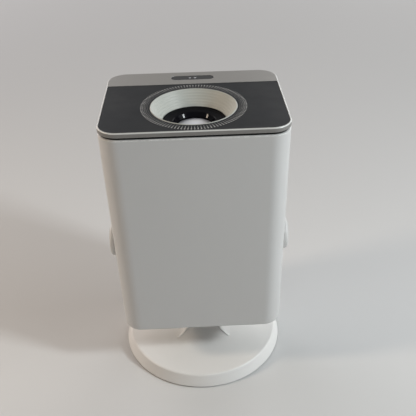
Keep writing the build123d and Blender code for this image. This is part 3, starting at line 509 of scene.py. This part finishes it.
class Paint(Enum):
    """Finishes of the projector's pieces."""

    # The sleeve's softened edges carry a near-white painted highlight.
    HOUSING_WHITE = Finish(
        "housing_white", (0.64, 0.637, 0.627), 0.42, grain=Grain.MOULDED, drift=0.03, edge=0.0016,
        highlight_tone=(0.96, 0.955, 0.94), edge_highlight=1.0,
    )
    # A lighter copy of the base white: painted highlight on the neck's corner ridges.
    RIDGE_PAINTED_HIGHLIGHT = Finish("ridge_painted_highlight", (0.97, 0.965, 0.95), 0.3, drift=0.03)
    # The base's softened edges, the neck's corner ridges among them, carry a painted highlight.
    BASE_WHITE = Finish(
        "base_white", (0.82, 0.81, 0.79), 0.40, grain=Grain.MOULDED, drift=0.03, dust=0.04, edge=0.0006,
        highlight_tone=(0.95, 0.94, 0.92), edge_highlight=0.8,
    )
    YOKE_WHITE = Finish("yoke_white", (0.72, 0.715, 0.70), 0.45, grain=Grain.CAST, drift=0.03)
    REAR_WHITE = Finish("rear_white", (0.62, 0.62, 0.61), 0.52, grain=Grain.MOULDED, drift=0.04)
    # The frame's softened edges carry a painted highlight, and a stronger one lies on the rounding between
    # its front and sides.
    FRONT_METAL = Finish(
        "front_metal", (0.258, 0.25, 0.237), 0.40, metal=0.12, drift=0.05, edge=0.0004,
        highlight_tone=(0.80, 0.81, 0.78), edge_highlight=0.5, chamfer_highlight=0.85, lines=0.10,
    )
    DARK_PANEL = Finish(
        "dark_panel", (0.026, 0.0275, 0.030), 0.46, grain=Grain.FINE, drift=0.10, dust=0.03, specular=0.05
    )
    DOT_PRINT = Finish("dot_print", (0.47, 0.465, 0.45), 0.5, drift=0.12, edge=0.00004)
    SMOKED = Finish(
        "smoked_window", (0.016, 0.016, 0.018), 0.16, coat=0.15, grain=Grain.POLISHED, dust=0.02,
        specular=0.25,
    )
    SENSOR_EYE = Finish("sensor_eye", (0.55, 0.57, 0.62), 0.15, coat=1.0, grain=Grain.POLISHED)
    FUNNEL_CREAM = Finish(
        "funnel_cream", (0.52, 0.53, 0.49), 0.45, grain=Grain.POLISHED, drift=0.03, specular=0.3
    )
    LENS_BLACK = Finish(
        "lens_black", (0.004, 0.004, 0.006), 0.12, grain=Grain.POLISHED, coat=0.08, coat_gloss=0.03,
        drift=0.1, specular=0.03,
    )
    INNER_BLACK = Finish("inner_black", (0.022, 0.022, 0.024), 0.62, grain=Grain.MOULDED, drift=0.12)
    PICTURE_PANEL = Finish("picture_panel", (0.03, 0.03, 0.045), 0.12, coat=0.5, grain=Grain.POLISHED)
    SINK_METAL = Finish("sink_metal", (0.62, 0.62, 0.63), 0.40, metal=1.0, lines=0.2, drift=0.06)
    BOARD_GREEN = Finish("board_green", (0.018, 0.095, 0.045), 0.38, coat=0.3, drift=0.2)
    SOCKET_METAL = Finish("socket_metal", (0.62, 0.61, 0.59), 0.30, metal=1.0, lines=0.12, drift=0.05)
    HINGE_STEEL = Finish("hinge_steel", (0.50, 0.50, 0.50), 0.34, metal=1.0, lines=0.15, drift=0.08)
    TURNED_BRASS = Finish("turned_brass", (0.68, 0.47, 0.20), 0.30, metal=1.0, drift=0.10)
    BALLAST = Finish("ballast_steel", (0.20, 0.20, 0.205), 0.55, metal=1.0, grain=Grain.CAST, drift=0.2)
    FOOT_RUBBER = Finish(
        "foot_rubber", (0.028, 0.028, 0.028), 0.78, grain=Grain.CAST, drift=0.15, specular=0.3
    )
    NYLON = Finish("washer_nylon", (0.66, 0.65, 0.61), 0.5, drift=0.06)
    CONE_FIBRE = Finish(
        "cone_fibre", (0.035, 0.034, 0.033), 0.85, grain=Grain.FIBRE, drift=0.25, specular=0.2
    )
    OPTICAL_GLASS = Glass("optical_glass", (0.93, 0.96, 0.98))
    # The front glass lets little light through and scatters the rest back in a pale lavender tone: painted
    # brightness standing in for the reflection and lit inside seen in the lens.
    FRONT_GLASS_PAINTED_REFLECTION = Glass("front_glass_painted_reflection", (0.93, 0.93, 1.0), 0.03, 1.62, clear=0.12, coat=1.0)

    def of(self, effects: Effects, cache: dict[str, bpy.types.Material]) -> bpy.types.Material:
        """Material of this finish.

        Args:
            effects: Shared node groups.
            cache: Materials made so far.

        Returns:
            The material, built on first use.
        """
        if self.name not in cache:
            cache[self.name] = self.value.material(effects)
        return cache[self.name]


class Workshop:
    """Makes meshes and hands out finishes for all sub-assemblies."""

    def __init__(self) -> None:
        """Build the shared effects."""
        self.effects = Effects()
        self.cache: dict[str, bpy.types.Material] = {}

    def paint(self, obj: bpy.types.Object, finish: Paint) -> None:
        """Give an object one finish all over."""
        material = finish.of(self.effects, self.cache)
        if not obj.material_slots:
            obj.data.materials.append(material)
        for slot in obj.material_slots:
            slot.material = material

    def dress(self, *plan: tuple[Paint, Iterable[str]]) -> None:
        """Finish CAD nodes in place, each finish on the nodes named beside it."""
        for finish, names in plan:
            for name in names:
                self.paint(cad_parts[name], finish)
                log.info("node %s takes %s", name, finish.value.name)

    def place(
        self, name: str, mesh: bpy.types.Mesh, body: Body, finish: Paint, slot: str, smooth: float = 32.0
    ) -> bpy.types.Object:
        """Put a finished mesh into the scene on its body.

        Args:
            name: Name of the piece.
            mesh: Its mesh, in metres in the row frame.
            body: Body that it rides on.
            finish: Its finish.
            slot: Name of a material slot; not used.
            smooth: Largest angle between faces that shade as one, in degrees.

        Returns:
            The new object.
        """
        mesh.shade_smooth()
        mesh.set_sharp_from_angle(angle=math.radians(smooth))
        obj = bpy.data.objects.new(name, mesh)
        bpy.context.scene.collection.objects.link(obj)
        self.paint(obj, finish)
        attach(obj, body.value)
        log.info("piece %s rides on %s", name, body.value)
        return obj

    @staticmethod
    def lathe(profile: Sequence[Point], centre: Point, segments: int = 160) -> bpy.types.Mesh:
        """Turn a closed profile about a vertical axis.

        Args:
            profile: Corners (radius, height) in millimetres, in order round the section.
            centre: Axis (x, y) in millimetres.
            segments: Number of steps round the axis.

        Returns:
            The mesh in metres.
        """
        form = bmesh.new()
        rings = [Workshop.ring(form, centre, radius, height, segments) for radius, height in profile]
        for first, second in zip(rings, rings[1:] + rings[:1]):
            Workshop.join_rings(form, first, second)
        return Workshop.mesh_of(form, "lathe")

    @staticmethod
    def mesh_of(form: bmesh.types.BMesh, name: str) -> bpy.types.Mesh:
        """Turn a finished form into a mesh whose faces look outward."""
        bmesh.ops.recalc_face_normals(form, faces=form.faces)
        mesh = bpy.data.meshes.new(name)
        form.to_mesh(mesh)
        form.free()
        return mesh

    @staticmethod
    def ring(
        form: bmesh.types.BMesh, centre: Point, radius: float, height: float, count: int, lead: float = 0.0
    ) -> list[bmesh.types.BMVert]:
        """Place corners round a level circle, or one point where it has no radius.

        Args:
            form: Form that takes the corners.
            centre: Centre (x, y) in millimetres.
            radius: Radius in millimetres.
            height: Height in millimetres.
            count: Number of corners.
            lead: Share of a step by which the first corner leads.

        Returns:
            The corners in order.
        """
        corners = []
        for step in range(1 if radius < POINT_RADIUS else count):
            turn = 2 * math.pi * (step + lead) / count
            spot = (centre[0] + radius * math.cos(turn), centre[1] + radius * math.sin(turn), height)
            corners.append(form.verts.new(Vector(spot) * MM))
        return corners

    @staticmethod
    def sweep(form: bmesh.types.BMesh, rows: Sequence[list[bmesh.types.BMVert]]) -> None:
        """Fill the bands between rows of corners and close both ends."""
        for first, second in zip(rows, rows[1:]):
            Workshop.join_rings(form, first, second)
        form.faces.new(rows[0])
        form.faces.new(list(reversed(rows[-1])))

    @staticmethod
    def join_rings(form: bmesh.types.BMesh, first: list, second: list) -> None:
        """Fill the band between two rings, either of which may be a single point."""
        segments = max(len(first), len(second))
        if segments == 1:
            return
        for step in range(segments):
            after = (step + 1) % segments
            if len(first) == 1:
                form.faces.new((first[0], second[step], second[after]))
            elif len(second) == 1:
                form.faces.new((first[step], second[0], first[after]))
            else:
                form.faces.new((first[step], second[step], second[after], first[after]))


def arc(centre: Point, radius: float, start: float, end: float, steps: int) -> list[Point]:
    """Points along a circular arc.

    Args:
        centre: Centre (radius, height).
        radius: Radius of the arc.
        start: First angle in degrees.
        end: Last angle in degrees.
        steps: Number of parts.

    Returns:
        The points, both ends included.
    """
    points = []
    for step in range(steps + 1):
        turn = math.radians(start + (end - start) * step / steps)
        points.append((centre[0] + radius * math.cos(turn), centre[1] + radius * math.sin(turn)))
    return points


@dataclass
class LensOpening:
    """Flared lens opening with its black ring and front glass, in millimetres."""

    shop: Workshop
    axis: Point = (0.0, -10.1)
    face: float = 197.0
    bezel_back: float = 194.2
    mouth: float = 25.2
    rim: float = 0.8
    throat: float = 19.6
    cone_depth: float = 9.0
    throat_depth: float = 15.0
    wall: float = 2.4
    flange: float = 29.0
    flange_thickness: float = 1.6
    steps: int = 6
    ledge: float = 0.34
    rounding: float = 0.12
    nick: float = 0.036
    ring_radius: float = 19.3
    ring_base: float = 184.2
    ring_top: float = 188.0
    ring_shelf: float = 13.4
    ring_bend: float = 0.5
    ring_slopes: Point = (10.0, 60.0)
    ring_lip: float = 0.15
    ring_edge: float = 0.3
    ring_step: float = 0.1
    window: float = 10.5
    smooth: float = 24.0

    def build(self) -> None:
        """Make the funnel, ring and glass."""
        funnel = self.shop.place(
            "funnel_liner", self.shop.lathe(self._funnel_profile(), self.axis), Body.PROJECTOR,
            Paint.FUNNEL_CREAM, "funnel_cream", self.smooth,
        )
        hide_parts("lens_funnel")
        ring = self.shop.place(
            "lens_surround", self.shop.lathe(self._ring_profile(), self.axis), Body.LENS,
            Paint.LENS_BLACK, "lens_black", self.smooth,
        )
        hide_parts("lens_ring")
        self.shop.dress(
            # The front lens scatters most light back in a pale tone, a painted reflection.
            (Paint.FRONT_GLASS_PAINTED_REFLECTION, ["front_lens"]),
            (Paint.OPTICAL_GLASS, ["middle_lens", "rear_lens"]),
            (Paint.INNER_BLACK, ["lens_barrel"]),
        )

    def _funnel_profile(self) -> list[Point]:
        """Section of the funnel, from its outer rim over the mouth and down to the throat."""
        outer = self.mouth + self.rim
        half = self.rim / 2
        cone_low = self.face - self.cone_depth
        profile = [(outer, self.bezel_back)]
        profile += arc((self.mouth + half, self.face - half), half, 0.0, 180.0, 10)
        rise = self.cone_depth / self.steps
        run = (self.mouth - self.throat) / self.steps
        for step in reversed(range(self.steps)):
            inner = self.throat + step * run
            height = cone_low + step * rise
            profile += [
                (inner + self.ledge, height + self.rounding),
                (inner + self.ledge - self.nick, height + self.nick),
                (inner + self.rounding, height),
                (inner + self.nick, height - self.nick),
                (inner, height - self.rounding),
            ]
        throat_low = self.face - self.throat_depth
        flange_low = self.bezel_back - self.flange_thickness
        profile += [(self.throat, throat_low), (self.throat + self.wall, throat_low)]
        profile += [(self.throat + self.wall, cone_low), (outer, flange_low)]
        return profile + [(self.flange, flange_low), (self.flange, self.bezel_back)]

    def _ring_profile(self) -> list[Point]:
        """Section of the black ring: a gentle shelf, then a steep wall down to the lip round the glass."""
        edge = self.ring_edge
        profile = [(self.ring_radius, self.ring_base)]
        profile += arc((self.ring_radius - edge, self.ring_top - edge), edge, 0.0, 90.0, 6)
        radius, height = profile[-1]
        gentle, steep = self.ring_slopes
        low = self.ring_base + self.ring_lip
        while radius - self.ring_step > self.window:
            share = min(1.0, max(0.0, self.ring_shelf - radius) / self.ring_bend)
            slope = math.tan(math.radians(gentle + (steep - gentle) * share))
            radius -= self.ring_step
            height = max(low, height - self.ring_step * slope)
            profile.append((radius, height))
        profile += [(self.window, low), (self.window, self.ring_base)]
        return profile


@dataclass
class FrontFace:
    """Front frame, dark panel with its ring of dots, and sensor window, in millimetres."""

    shop: Workshop
    panel_top: float = 196.85
    dot_centre: Point = (0.0, -10.1)
    dot_inner: float = 27.4
    dot_outer: float = 31.3
    dot_rows: int = 5
    dot_columns: int = 104
    dot_radii: Point = (0.15, 0.42)
    dot_crown: float = 0.8
    dot_height: float = 0.04
    dot_sides: int = 8
    window_centre: Point = (0.0, 33.8)
    eye_spacing: float = 3.4
    eye_radius: float = 0.75
    eye_height: float = 0.05
    eye_steps: int = 5
    eye_segments: int = 32

    def build(self) -> None:
        """Dress the frame and panel and print the dots."""
        self.shop.dress(
            (Paint.FRONT_METAL, ["front_bezel"]),
            (Paint.DARK_PANEL, ["front_panel"]),
            # The front gasket is black rubber; its black also paints the shade of the seam gap under the
            # frame.
            (Paint.FOOT_RUBBER, ["front_gasket"]),
            (Paint.SMOKED, ["sensor_window"]),
            (Paint.BOARD_GREEN, ["sensor_board"]),
        )
        self.shop.place("dot_ring", self._dots(), Body.PROJECTOR, Paint.DOT_PRINT, "front_metal")
        for side, sign in (("left", -1), ("right", 1)):
            centre = (self.window_centre[0] + sign * self.eye_spacing / 2, self.window_centre[1])
            eye = self.shop.lathe(self._eye_profile(), centre, self.eye_segments)
            self.shop.place(f"sensor_eye_{side}", eye, Body.PROJECTOR, Paint.SENSOR_EYE, "smoked_window")

    def _dots(self) -> bpy.types.Mesh:
        """Rings of fine raised dots that grow outward in radial columns, as one mesh."""
        form = bmesh.new()
        small, large = self.dot_radii
        for row in range(self.dot_rows):
            share = row / (self.dot_rows - 1)
            reach = self.dot_inner + (self.dot_outer - self.dot_inner) * share
            size = small + (large - small) * share
            for column in range(self.dot_columns):
                turn = 2 * math.pi * column / self.dot_columns
                x = self.dot_centre[0] + reach * math.cos(turn)
                y = self.dot_centre[1] + reach * math.sin(turn)
                self._add_dot(form, (x, y), size)
        return Workshop.mesh_of(form, "dots")

    def _add_dot(self, form: bmesh.types.BMesh, centre: Point, size: float) -> None:
        """Build one dot, narrower at its top, into a form."""
        levels = ((self.dot_crown * size, self.panel_top + self.dot_height), (size, self.panel_top))
        Workshop.sweep(
            form, [Workshop.ring(form, centre, *level, self.dot_sides, lead=0.5) for level in levels]
        )

    def _eye_profile(self) -> list[Point]:
        """Section of a low domed sensor eye."""
        low = self.panel_top - self.eye_height
        profile = [(0.0, low), (self.eye_radius, low)]
        for step in range(self.eye_steps):
            turn = math.pi / 2 * step / self.eye_steps
            rise = self.eye_height * math.sin(turn)
            profile.append((self.eye_radius * math.cos(turn), self.panel_top + rise))
        return profile + [(0.0, self.panel_top + self.eye_height)]


@dataclass
class Housing:
    """White sleeve of the projector."""

    shop: Workshop

    def build(self) -> None:
        """Dress the sleeve."""
        self.shop.dress((Paint.HOUSING_WHITE, ["housing_shell"]))


@dataclass
class CrossScrew:
    """Pan-head screw that points up, with a cross recess in its low face, in millimetres."""

    place: Point
    low: float
    length: float = 9.0
    shaft: float = 1.5
    head: float = 2.6
    head_height: float = 1.2
    rounding: float = 0.45
    tip_radius: float = 0.9
    tip_length: float = 0.6
    recess_turn: float = 36.0
    recess_reach: float = 1.35
    recess_half: float = 0.30
    recess_depth: float = 0.75
    taper: float = 0.55
    segments: int = 48

    def add_to(self, form: bmesh.types.BMesh) -> None:
        """Build the screw into a mesh."""
        tip = self.low + self.length
        shoulder = self.low + self.head_height
        profile = [(0.0, tip), (self.tip_radius, tip), (self.shaft, tip - self.tip_length)]
        profile += [(self.shaft, shoulder), (self.head, shoulder)]
        middle = (self.head - self.rounding, self.low + self.rounding)
        profile += arc(middle, self.rounding, 0.0, -90.0, 6)
        rings = [Workshop.ring(form, self.place, *level, self.segments) for level in profile]
        for first, second in zip(rings, rings[1:]):
            Workshop.join_rings(form, first, second)
        mouth = self._cross(form, 1.0, self.low)
        floor = self._cross(form, self.taper, self.low + self.recess_depth)
        edges = []
        for loop in (rings[-1], mouth):
            for first, second in zip(loop, loop[1:] + loop[:1]):
                edges.append(form.edges.get((first, second)) or form.edges.new((first, second)))
        bmesh.ops.triangle_fill(form, use_beauty=True, edges=edges)
        Workshop.join_rings(form, mouth, floor)
        form.faces.new(floor)

    def _cross(self, form: bmesh.types.BMesh, scale: float, height: float) -> list:
        """Twelve corners of the recess at one height."""
        reach = self.recess_reach * scale
        half = self.recess_half * scale
        corners = []
        for quarter in range(4):
            turn = Matrix.Rotation(math.radians(90.0 * quarter + self.recess_turn), 2)
            for x, y in ((half, -half), (reach, -half), (reach, half)):
                corner = turn @ Vector((x, y))
                spot = Vector((corner.x + self.place[0], corner.y + self.place[1], height))
                corners.append(form.verts.new(spot * MM))
        return corners


@dataclass
class RearEnd:
    """Rear cover with its grille, sockets, button and speaker, in millimetres."""

    shop: Workshop
    screw_place: Point = (47.243, 36.243)
    cover_low: float = 46.5
    tongue_inset: float = 2.0
    tongue_skin: float = 0.06
    tongue_soften: float = 0.15
    contact_soften: float = 0.02
    video_tongue: Size = (10.6, 1.0, 8.0)
    video_contact: Size = (0.45, 0.06, 5.0)
    video_counts: tuple[int, int] = (9, 10)
    video_pitch: float = 1.0
    video_drop: float = 0.8
    data_tongue: Size = (12.0, 1.8, 10.0)
    data_tongue_drop: float = 1.9
    data_contact: Size = (1.1, 0.06, 6.5)
    data_columns: tuple[float, ...] = (-3.5, -1.0, 1.0, 3.5)
    data_drop: float = 0.9

    def build(self) -> None:
        """Make the screws and the insides of the sockets, and dress the rear pieces."""
        screws = self.shop.place(
            "cross_screws", self._screws(), Body.PROJECTOR, Paint.HINGE_STEEL, "hinge_steel", smooth=30.0
        )
        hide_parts("cover_screws")
        self.shop.place("socket_tongues", self._skins(), Body.PROJECTOR, Paint.INNER_BLACK, "inner_black")
        self.shop.place("socket_contacts", self._contacts(), Body.PROJECTOR, Paint.TURNED_BRASS, "brass")
        self.shop.dress(
            (Paint.REAR_WHITE, ["rear_cover", "rear_grille", "intake_grille", "power_button"]),
            (Paint.INNER_BLACK, ["port_plate", "audio_jack", "dc_inlet", "button_switch"]),
            (Paint.SOCKET_METAL, ["hdmi_port", "usb_port"]),
            (Paint.SMOKED, ["infrared_window"]),
            (Paint.INNER_BLACK, ["speaker_frame", "fan_frame", "fan_impeller"]),
            (Paint.CONE_FIBRE, ["speaker_cone"]),
        )

    def _screws(self) -> bpy.types.Mesh:
        """Four cover screws as one mesh."""
        form = bmesh.new()
        for x_sign, y_sign in CORNERS:
            place = (x_sign * self.screw_place[0], y_sign * self.screw_place[1])
            CrossScrew(place, self.cover_low).add_to(form)
        return Workshop.mesh_of(form, "screws")

    def _tongues(self) -> tuple[Vector, Vector]:
        """Middles of the tongues in the video and data sockets."""
        rise = self.cover_low + self.tongue_inset
        low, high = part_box("hdmi_port")
        middle = (low + high) / 2 / MM
        video = Vector((middle.x, middle.y, rise + self.video_tongue[2] / 2))
        low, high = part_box("usb_port")
        middle_x = (low.x + high.x) / 2 / MM
        data = Vector((middle_x, high.y / MM - self.data_tongue_drop, rise + self.data_tongue[2] / 2))
        return video, data

    def _skins(self) -> bpy.types.Mesh:
        """Black plastic over the tongues of the video and data sockets."""
        grow = Vector((2, 2, 1)) * self.tongue_skin
        sizes = (Vector(self.video_tongue) + grow, Vector(self.data_tongue) + grow)
        return self._blocks(list(zip(self._tongues(), sizes)), self.tongue_soften)

    def _contacts(self) -> bpy.types.Mesh:
        """Contact strips on both tongues."""
        video, data = self._tongues()
        blocks = []
        out = self.video_tongue[1] / 2 + self.tongue_skin
        for face, count in zip((-1, 1), self.video_counts):
            for column in range(count):
                x = (column - (count - 1) / 2) * self.video_pitch
                spot = video + Vector((x, face * out, -self.video_drop))
                blocks.append((spot, Vector(self.video_contact)))
        out = self.data_tongue[1] / 2 + self.tongue_skin
        for x in self.data_columns:
            blocks.append((data + Vector((x, -out, -self.data_drop)), Vector(self.data_contact)))
        return self._blocks(blocks, self.contact_soften)

    @staticmethod
    def _blocks(blocks: Sequence[tuple[Vector, Vector]], soften: float) -> bpy.types.Mesh:
        """Blocks with softened edges as one mesh.

        Args:
            blocks: Middle and size of each block in millimetres.
            soften: Width of the softened edges in millimetres.

        Returns:
            The mesh in metres.
        """
        form = bmesh.new()
        for middle, size in blocks:
            place = Matrix.Translation(middle * MM) @ Matrix.Diagonal((*(size * MM), 1.0))
            bmesh.ops.create_cube(form, size=1.0, matrix=place)
        edges = list(form.edges)
        bmesh.ops.bevel(form, geom=edges, offset=soften * MM, segments=2, affect="EDGES", profile=0.5)
        return Workshop.mesh_of(form, "blocks")


@dataclass
class Inside:
    """Light engine, focus drive and boards inside the body."""

    shop: Workshop

    def build(self) -> None:
        """Dress the inner nodes."""
        self.shop.dress(
            (Paint.INNER_BLACK, ["focus_bracket", "lens_mount", "engine_case"]),
            (Paint.SOCKET_METAL, ["focus_motor"]),
            (Paint.HINGE_STEEL, ["focus_lead_screw", "focus_guide_rod"]),
            (Paint.OPTICAL_GLASS, ["condenser_lens", "fresnel_lens", "field_lens"]),
            (Paint.PICTURE_PANEL, ["lcd_panel"]),
            (Paint.BOARD_GREEN, ["led_module", "main_board"]),
            (Paint.SINK_METAL, ["heatsink"]),
        )


@dataclass
class Stand:
    """Round base, yoke and tilt hinge, in millimetres."""

    shop: Workshop
    thread_major: float = 3.15
    thread_minor: float = 2.62
    thread_pitch: float = 1.27
    thread_low: float = 1.1
    thread_high: float = 7.4
    thread_steps: int = 40
    thread_flanks: Point = (0.46, 0.08)
    neck_half: Point = (9.5, 8.5)
    neck_foot: float = 10.25
    neck_flare: float = 11.0
    ridge_half: float = 0.85
    ridge_rise: float = 0.45
    ridge_root: float = 0.8
    ridge_turns: Point = (4.0, 90.0)
    ridge_steps: int = 24

    def build(self) -> None:
        """Make the neck's ridges and the thread, and dress the stand and the hinge pieces."""
        # The neck's ridges take a lighter white than the base, as a painted highlight.
        for name, mesh, finish, slot in (
            ("neck_ridges", self._ridges(), Paint.RIDGE_PAINTED_HIGHLIGHT, "white_base"),
            ("tripod_thread", self._thread(), Paint.TURNED_BRASS, "brass"),
        ):
            self.shop.place(name, mesh, Body.STAND, finish, slot, smooth=30.0)
        self.shop.dress(
            (Paint.BASE_WHITE, ["base_cover"]),
            (Paint.YOKE_WHITE, ["yoke_bracket"]),
            (Paint.INNER_BLACK, ["base_plate"]),
            (Paint.BALLAST, ["base_weight"]),
            (Paint.FOOT_RUBBER, ["base_foot_ring"]),
            (Paint.TURNED_BRASS, ["tripod_insert"]),
            (Paint.HINGE_STEEL, ["base_screws", "yoke_screws", "spring_washers", "pivot_nuts"]),
            (Paint.NYLON, ["friction_washers"]),
        )
        for side in ("left", "right"):
            self.shop.dress(
                (Paint.HOUSING_WHITE, [f"pivot_cap_{side}"]),
                (Paint.TURNED_BRASS, [f"pivot_bush_{side}"]),
                (Paint.HINGE_STEEL, [f"hinge_plate_{side}", f"pivot_stud_{side}"]),
            )

    def _ridges(self) -> bpy.types.Mesh:
        """Flat-topped ridges down the four corners of the neck, blunt at the foot."""
        form = bmesh.new()
        first, last = self.ridge_turns
        top, low = self.ridge_rise, -self.ridge_root
        section = ((-1, top), (1, top), (1, low), (-1, low))
        for x_sign, y_sign in CORNERS:
            across = Vector((y_sign, -x_sign, 0.0)).normalized()
            rows = []
            for step in range(self.ridge_steps + 1):
                turn = math.radians(first + (last - first) * step / self.ridge_steps)
                inward, upward = math.cos(turn), math.sin(turn)
                out = self.neck_flare * (1 - upward)
                rise = self.neck_foot + self.neck_flare * (1 - inward)
                spot = Vector((x_sign * (self.neck_half[0] + out), y_sign * (self.neck_half[1] + out), rise))
                climb = Vector((-x_sign * inward, -y_sign * inward, upward)).normalized()
                lift = climb.cross(across)
                rows.append([
                    form.verts.new((spot + across * self.ridge_half * side + lift * height) * MM)
                    for side, height in section
                ])
            Workshop.sweep(form, rows)
        return Workshop.mesh_of(form, "ridges")

    def _thread(self) -> bpy.types.Mesh:
        """Ridge of the tripod thread, swept along its helix."""
        form = bmesh.new()
        root, crest = (share * self.thread_pitch for share in self.thread_flanks)
        section = ((self.thread_major, -root), (self.thread_minor, -crest),
                   (self.thread_minor, crest), (self.thread_major, root))
        turns = (self.thread_high - self.thread_low - 2 * root) / self.thread_pitch
        rows = []
        for step in range(int(turns * self.thread_steps) + 1):
            share = step / self.thread_steps
            turn = 2 * math.pi * share
            rise = self.thread_low + root + self.thread_pitch * share
            spots = [(radius * math.cos(turn), radius * math.sin(turn), rise + up) for radius, up in section]
            rows.append([form.verts.new(Vector(spot) * MM) for spot in spots])
        Workshop.sweep(form, rows)
        return Workshop.mesh_of(form, "thread")


@dataclass(frozen=True)
class Lamp:
    """Flat soft lamp that looks at the projector.

    Attributes:
        name: Name of the lamp.
        place: Its place in metres.
        size: Width and height of its face in metres.
        power: Power in watts.
        tone: Colour of its light.
    """

    name: str
    place: Size
    size: Point
    power: float
    tone: Tone


@dataclass
class Studio:
    """Floor, soft lights and camera, in metres."""

    floor_tone: Tone = (0.66, 0.66, 0.655)
    floor_shade: float = 0.98
    floor_patches: float = 3.0
    floor_gloss: float = 0.85
    floor_specular: float = 0.2
    floor_radius: float = 1.3
    world_tone: Tone = (1.0, 1.0, 1.0)
    world_strength: float = 0.05
    backdrop_strength: float = 0.42
    aim: Size = (0.0, 0.0, 0.1)
    lamps: tuple[Lamp, ...] = (
        Lamp("lamp_left", (-0.615, -0.11, 0.46), (0.09, 0.09), 1.75, (1.0, 0.84, 0.68)),
        Lamp("lamp_right", (0.64, -0.32, 0.56), (0.10, 0.10), 3.60, (0.93, 0.98, 1.0)),
        Lamp("wash_left", (-1.40, 0.90, 1.10), (1.4, 1.4), 5.6, (1.0, 0.86, 0.80)),
        Lamp("wash_right", (1.40, -0.40, 1.00), (1.2, 1.2), 8.0, (0.95, 0.99, 1.0)),
        Lamp("wash_back_left", (-1.20, 2.00, 0.92), (1.4, 1.4), 16.2, (0.98, 0.95, 0.97)),
        Lamp("wash_back_right", (1.20, 2.00, 0.92), (1.4, 1.4), 20.6, (0.98, 0.98, 0.98)),
    )

    def build(self) -> None:
        """Set up the stage, the lights and the camera."""
        self._floor()
        self._world()
        for lamp in self.lamps:
            self._hang(lamp)
        self._camera()
        bpy.context.scene.view_settings.view_transform = "Standard"

    def _floor(self) -> None:
        """Plain pale floor."""
        form = bmesh.new()
        bmesh.ops.create_circle(form, cap_ends=True, segments=128, radius=self.floor_radius)
        mesh = bpy.data.meshes.new("floor")
        form.to_mesh(mesh)
        form.free()
        floor = bpy.data.objects.new("floor", mesh)
        bpy.context.scene.collection.objects.link(floor)
        made = bpy.data.materials.new("floor_paper")
        made.use_nodes = True
        graph = Graph(made.node_tree)
        shader = made.node_tree.nodes["Principled BSDF"]
        drift = graph.noise(graph.node("ShaderNodeTexCoord").outputs["Object"], self.floor_patches)
        low = tuple(channel * self.floor_shade for channel in self.floor_tone)
        graph.settle(shader, {
            "Roughness": self.floor_gloss, "Specular IOR Level": self.floor_specular,
            "Base Color": graph.mix(drift, low, self.floor_tone),
        })
        mesh.materials.append(made)

    def _world(self) -> None:
        """Even pale surroundings, seen brighter than they light."""
        world = bpy.data.worlds.new("studio")
        bpy.context.scene.world = world
        world.use_nodes = True
        graph = Graph(world.node_tree)
        soft = world.node_tree.nodes["Background"]
        seen = graph.node("ShaderNodeBackground")
        for shader, strength in ((soft, self.world_strength), (seen, self.backdrop_strength)):
            graph.settle(shader, {"Color": self.world_tone, "Strength": strength})
        path = graph.node("ShaderNodeLightPath")
        shown = path.outputs["Is Camera Ray"]
        for ray in ("Is Glossy Ray", "Is Transmission Ray"):
            shown = graph.calc("MAXIMUM", shown, path.outputs[ray])
        blend = graph.node("ShaderNodeMixShader")
        graph.wire(shown, blend.inputs["Fac"])
        graph.wire(soft.outputs["Background"], blend.inputs[1])
        graph.wire(seen.outputs["Background"], blend.inputs[2])
        graph.wire(blend.outputs["Shader"], world.node_tree.nodes["World Output"].inputs["Surface"])

    def _hang(self, lamp: Lamp) -> None:
        """Put one lamp into the scene."""
        data = bpy.data.lights.new(lamp.name, "AREA")
        data.energy = lamp.power
        data.shape = "RECTANGLE"
        data.size, data.size_y = lamp.size
        data.color = lamp.tone
        hung = bpy.data.objects.new(lamp.name, data)
        hung.location = lamp.place
        look = Vector(self.aim) - Vector(lamp.place)
        hung.rotation_euler = look.to_track_quat("-Z", "Y").to_euler()
        bpy.context.scene.collection.objects.link(hung)

    def _camera(self) -> None:
        """Camera at the photograph's viewing angle."""
        azimuth = math.radians(-2.04)
        height = math.radians(37.44)
        roll = math.radians(-1.22)
        distance = 0.41964
        target = Vector((0.01148, 0.0, 0.08344))
        frame_px = 416.0
        focal_px = 577.84
        centre_px = (215.51, 246.28)
        back = Vector(
            (math.sin(azimuth) * math.cos(height), -math.cos(azimuth) * math.cos(height), math.sin(height))
        )
        data = bpy.data.cameras.new("view")
        data.sensor_width = 36.0
        data.lens = focal_px / frame_px * data.sensor_width
        data.shift_x = (frame_px / 2 - centre_px[0]) / frame_px
        data.shift_y = (centre_px[1] - frame_px / 2) / frame_px
        camera = bpy.data.objects.new("view", data)
        camera.location = target + back * distance
        look = (-back).to_track_quat("-Z", "Y").to_matrix().to_4x4()
        camera.rotation_euler = (look @ Matrix.Rotation(roll, 4, "Z")).to_euler()
        bpy.context.scene.collection.objects.link(camera)
        bpy.context.scene.camera = camera


def main() -> None:
    """Build and dress every sub-assembly, then the studio."""
    logging.basicConfig(level=logging.INFO, format="%(name)s: %(message)s")
    shop = Workshop()
    for assembly in (
        Housing(shop), FrontFace(shop), LensOpening(shop), RearEnd(shop), Inside(shop), Stand(shop), Studio()
    ):
        assembly.build()
        log.info("%s is done", type(assembly).__name__)


if __name__ == "__main__":
    main()
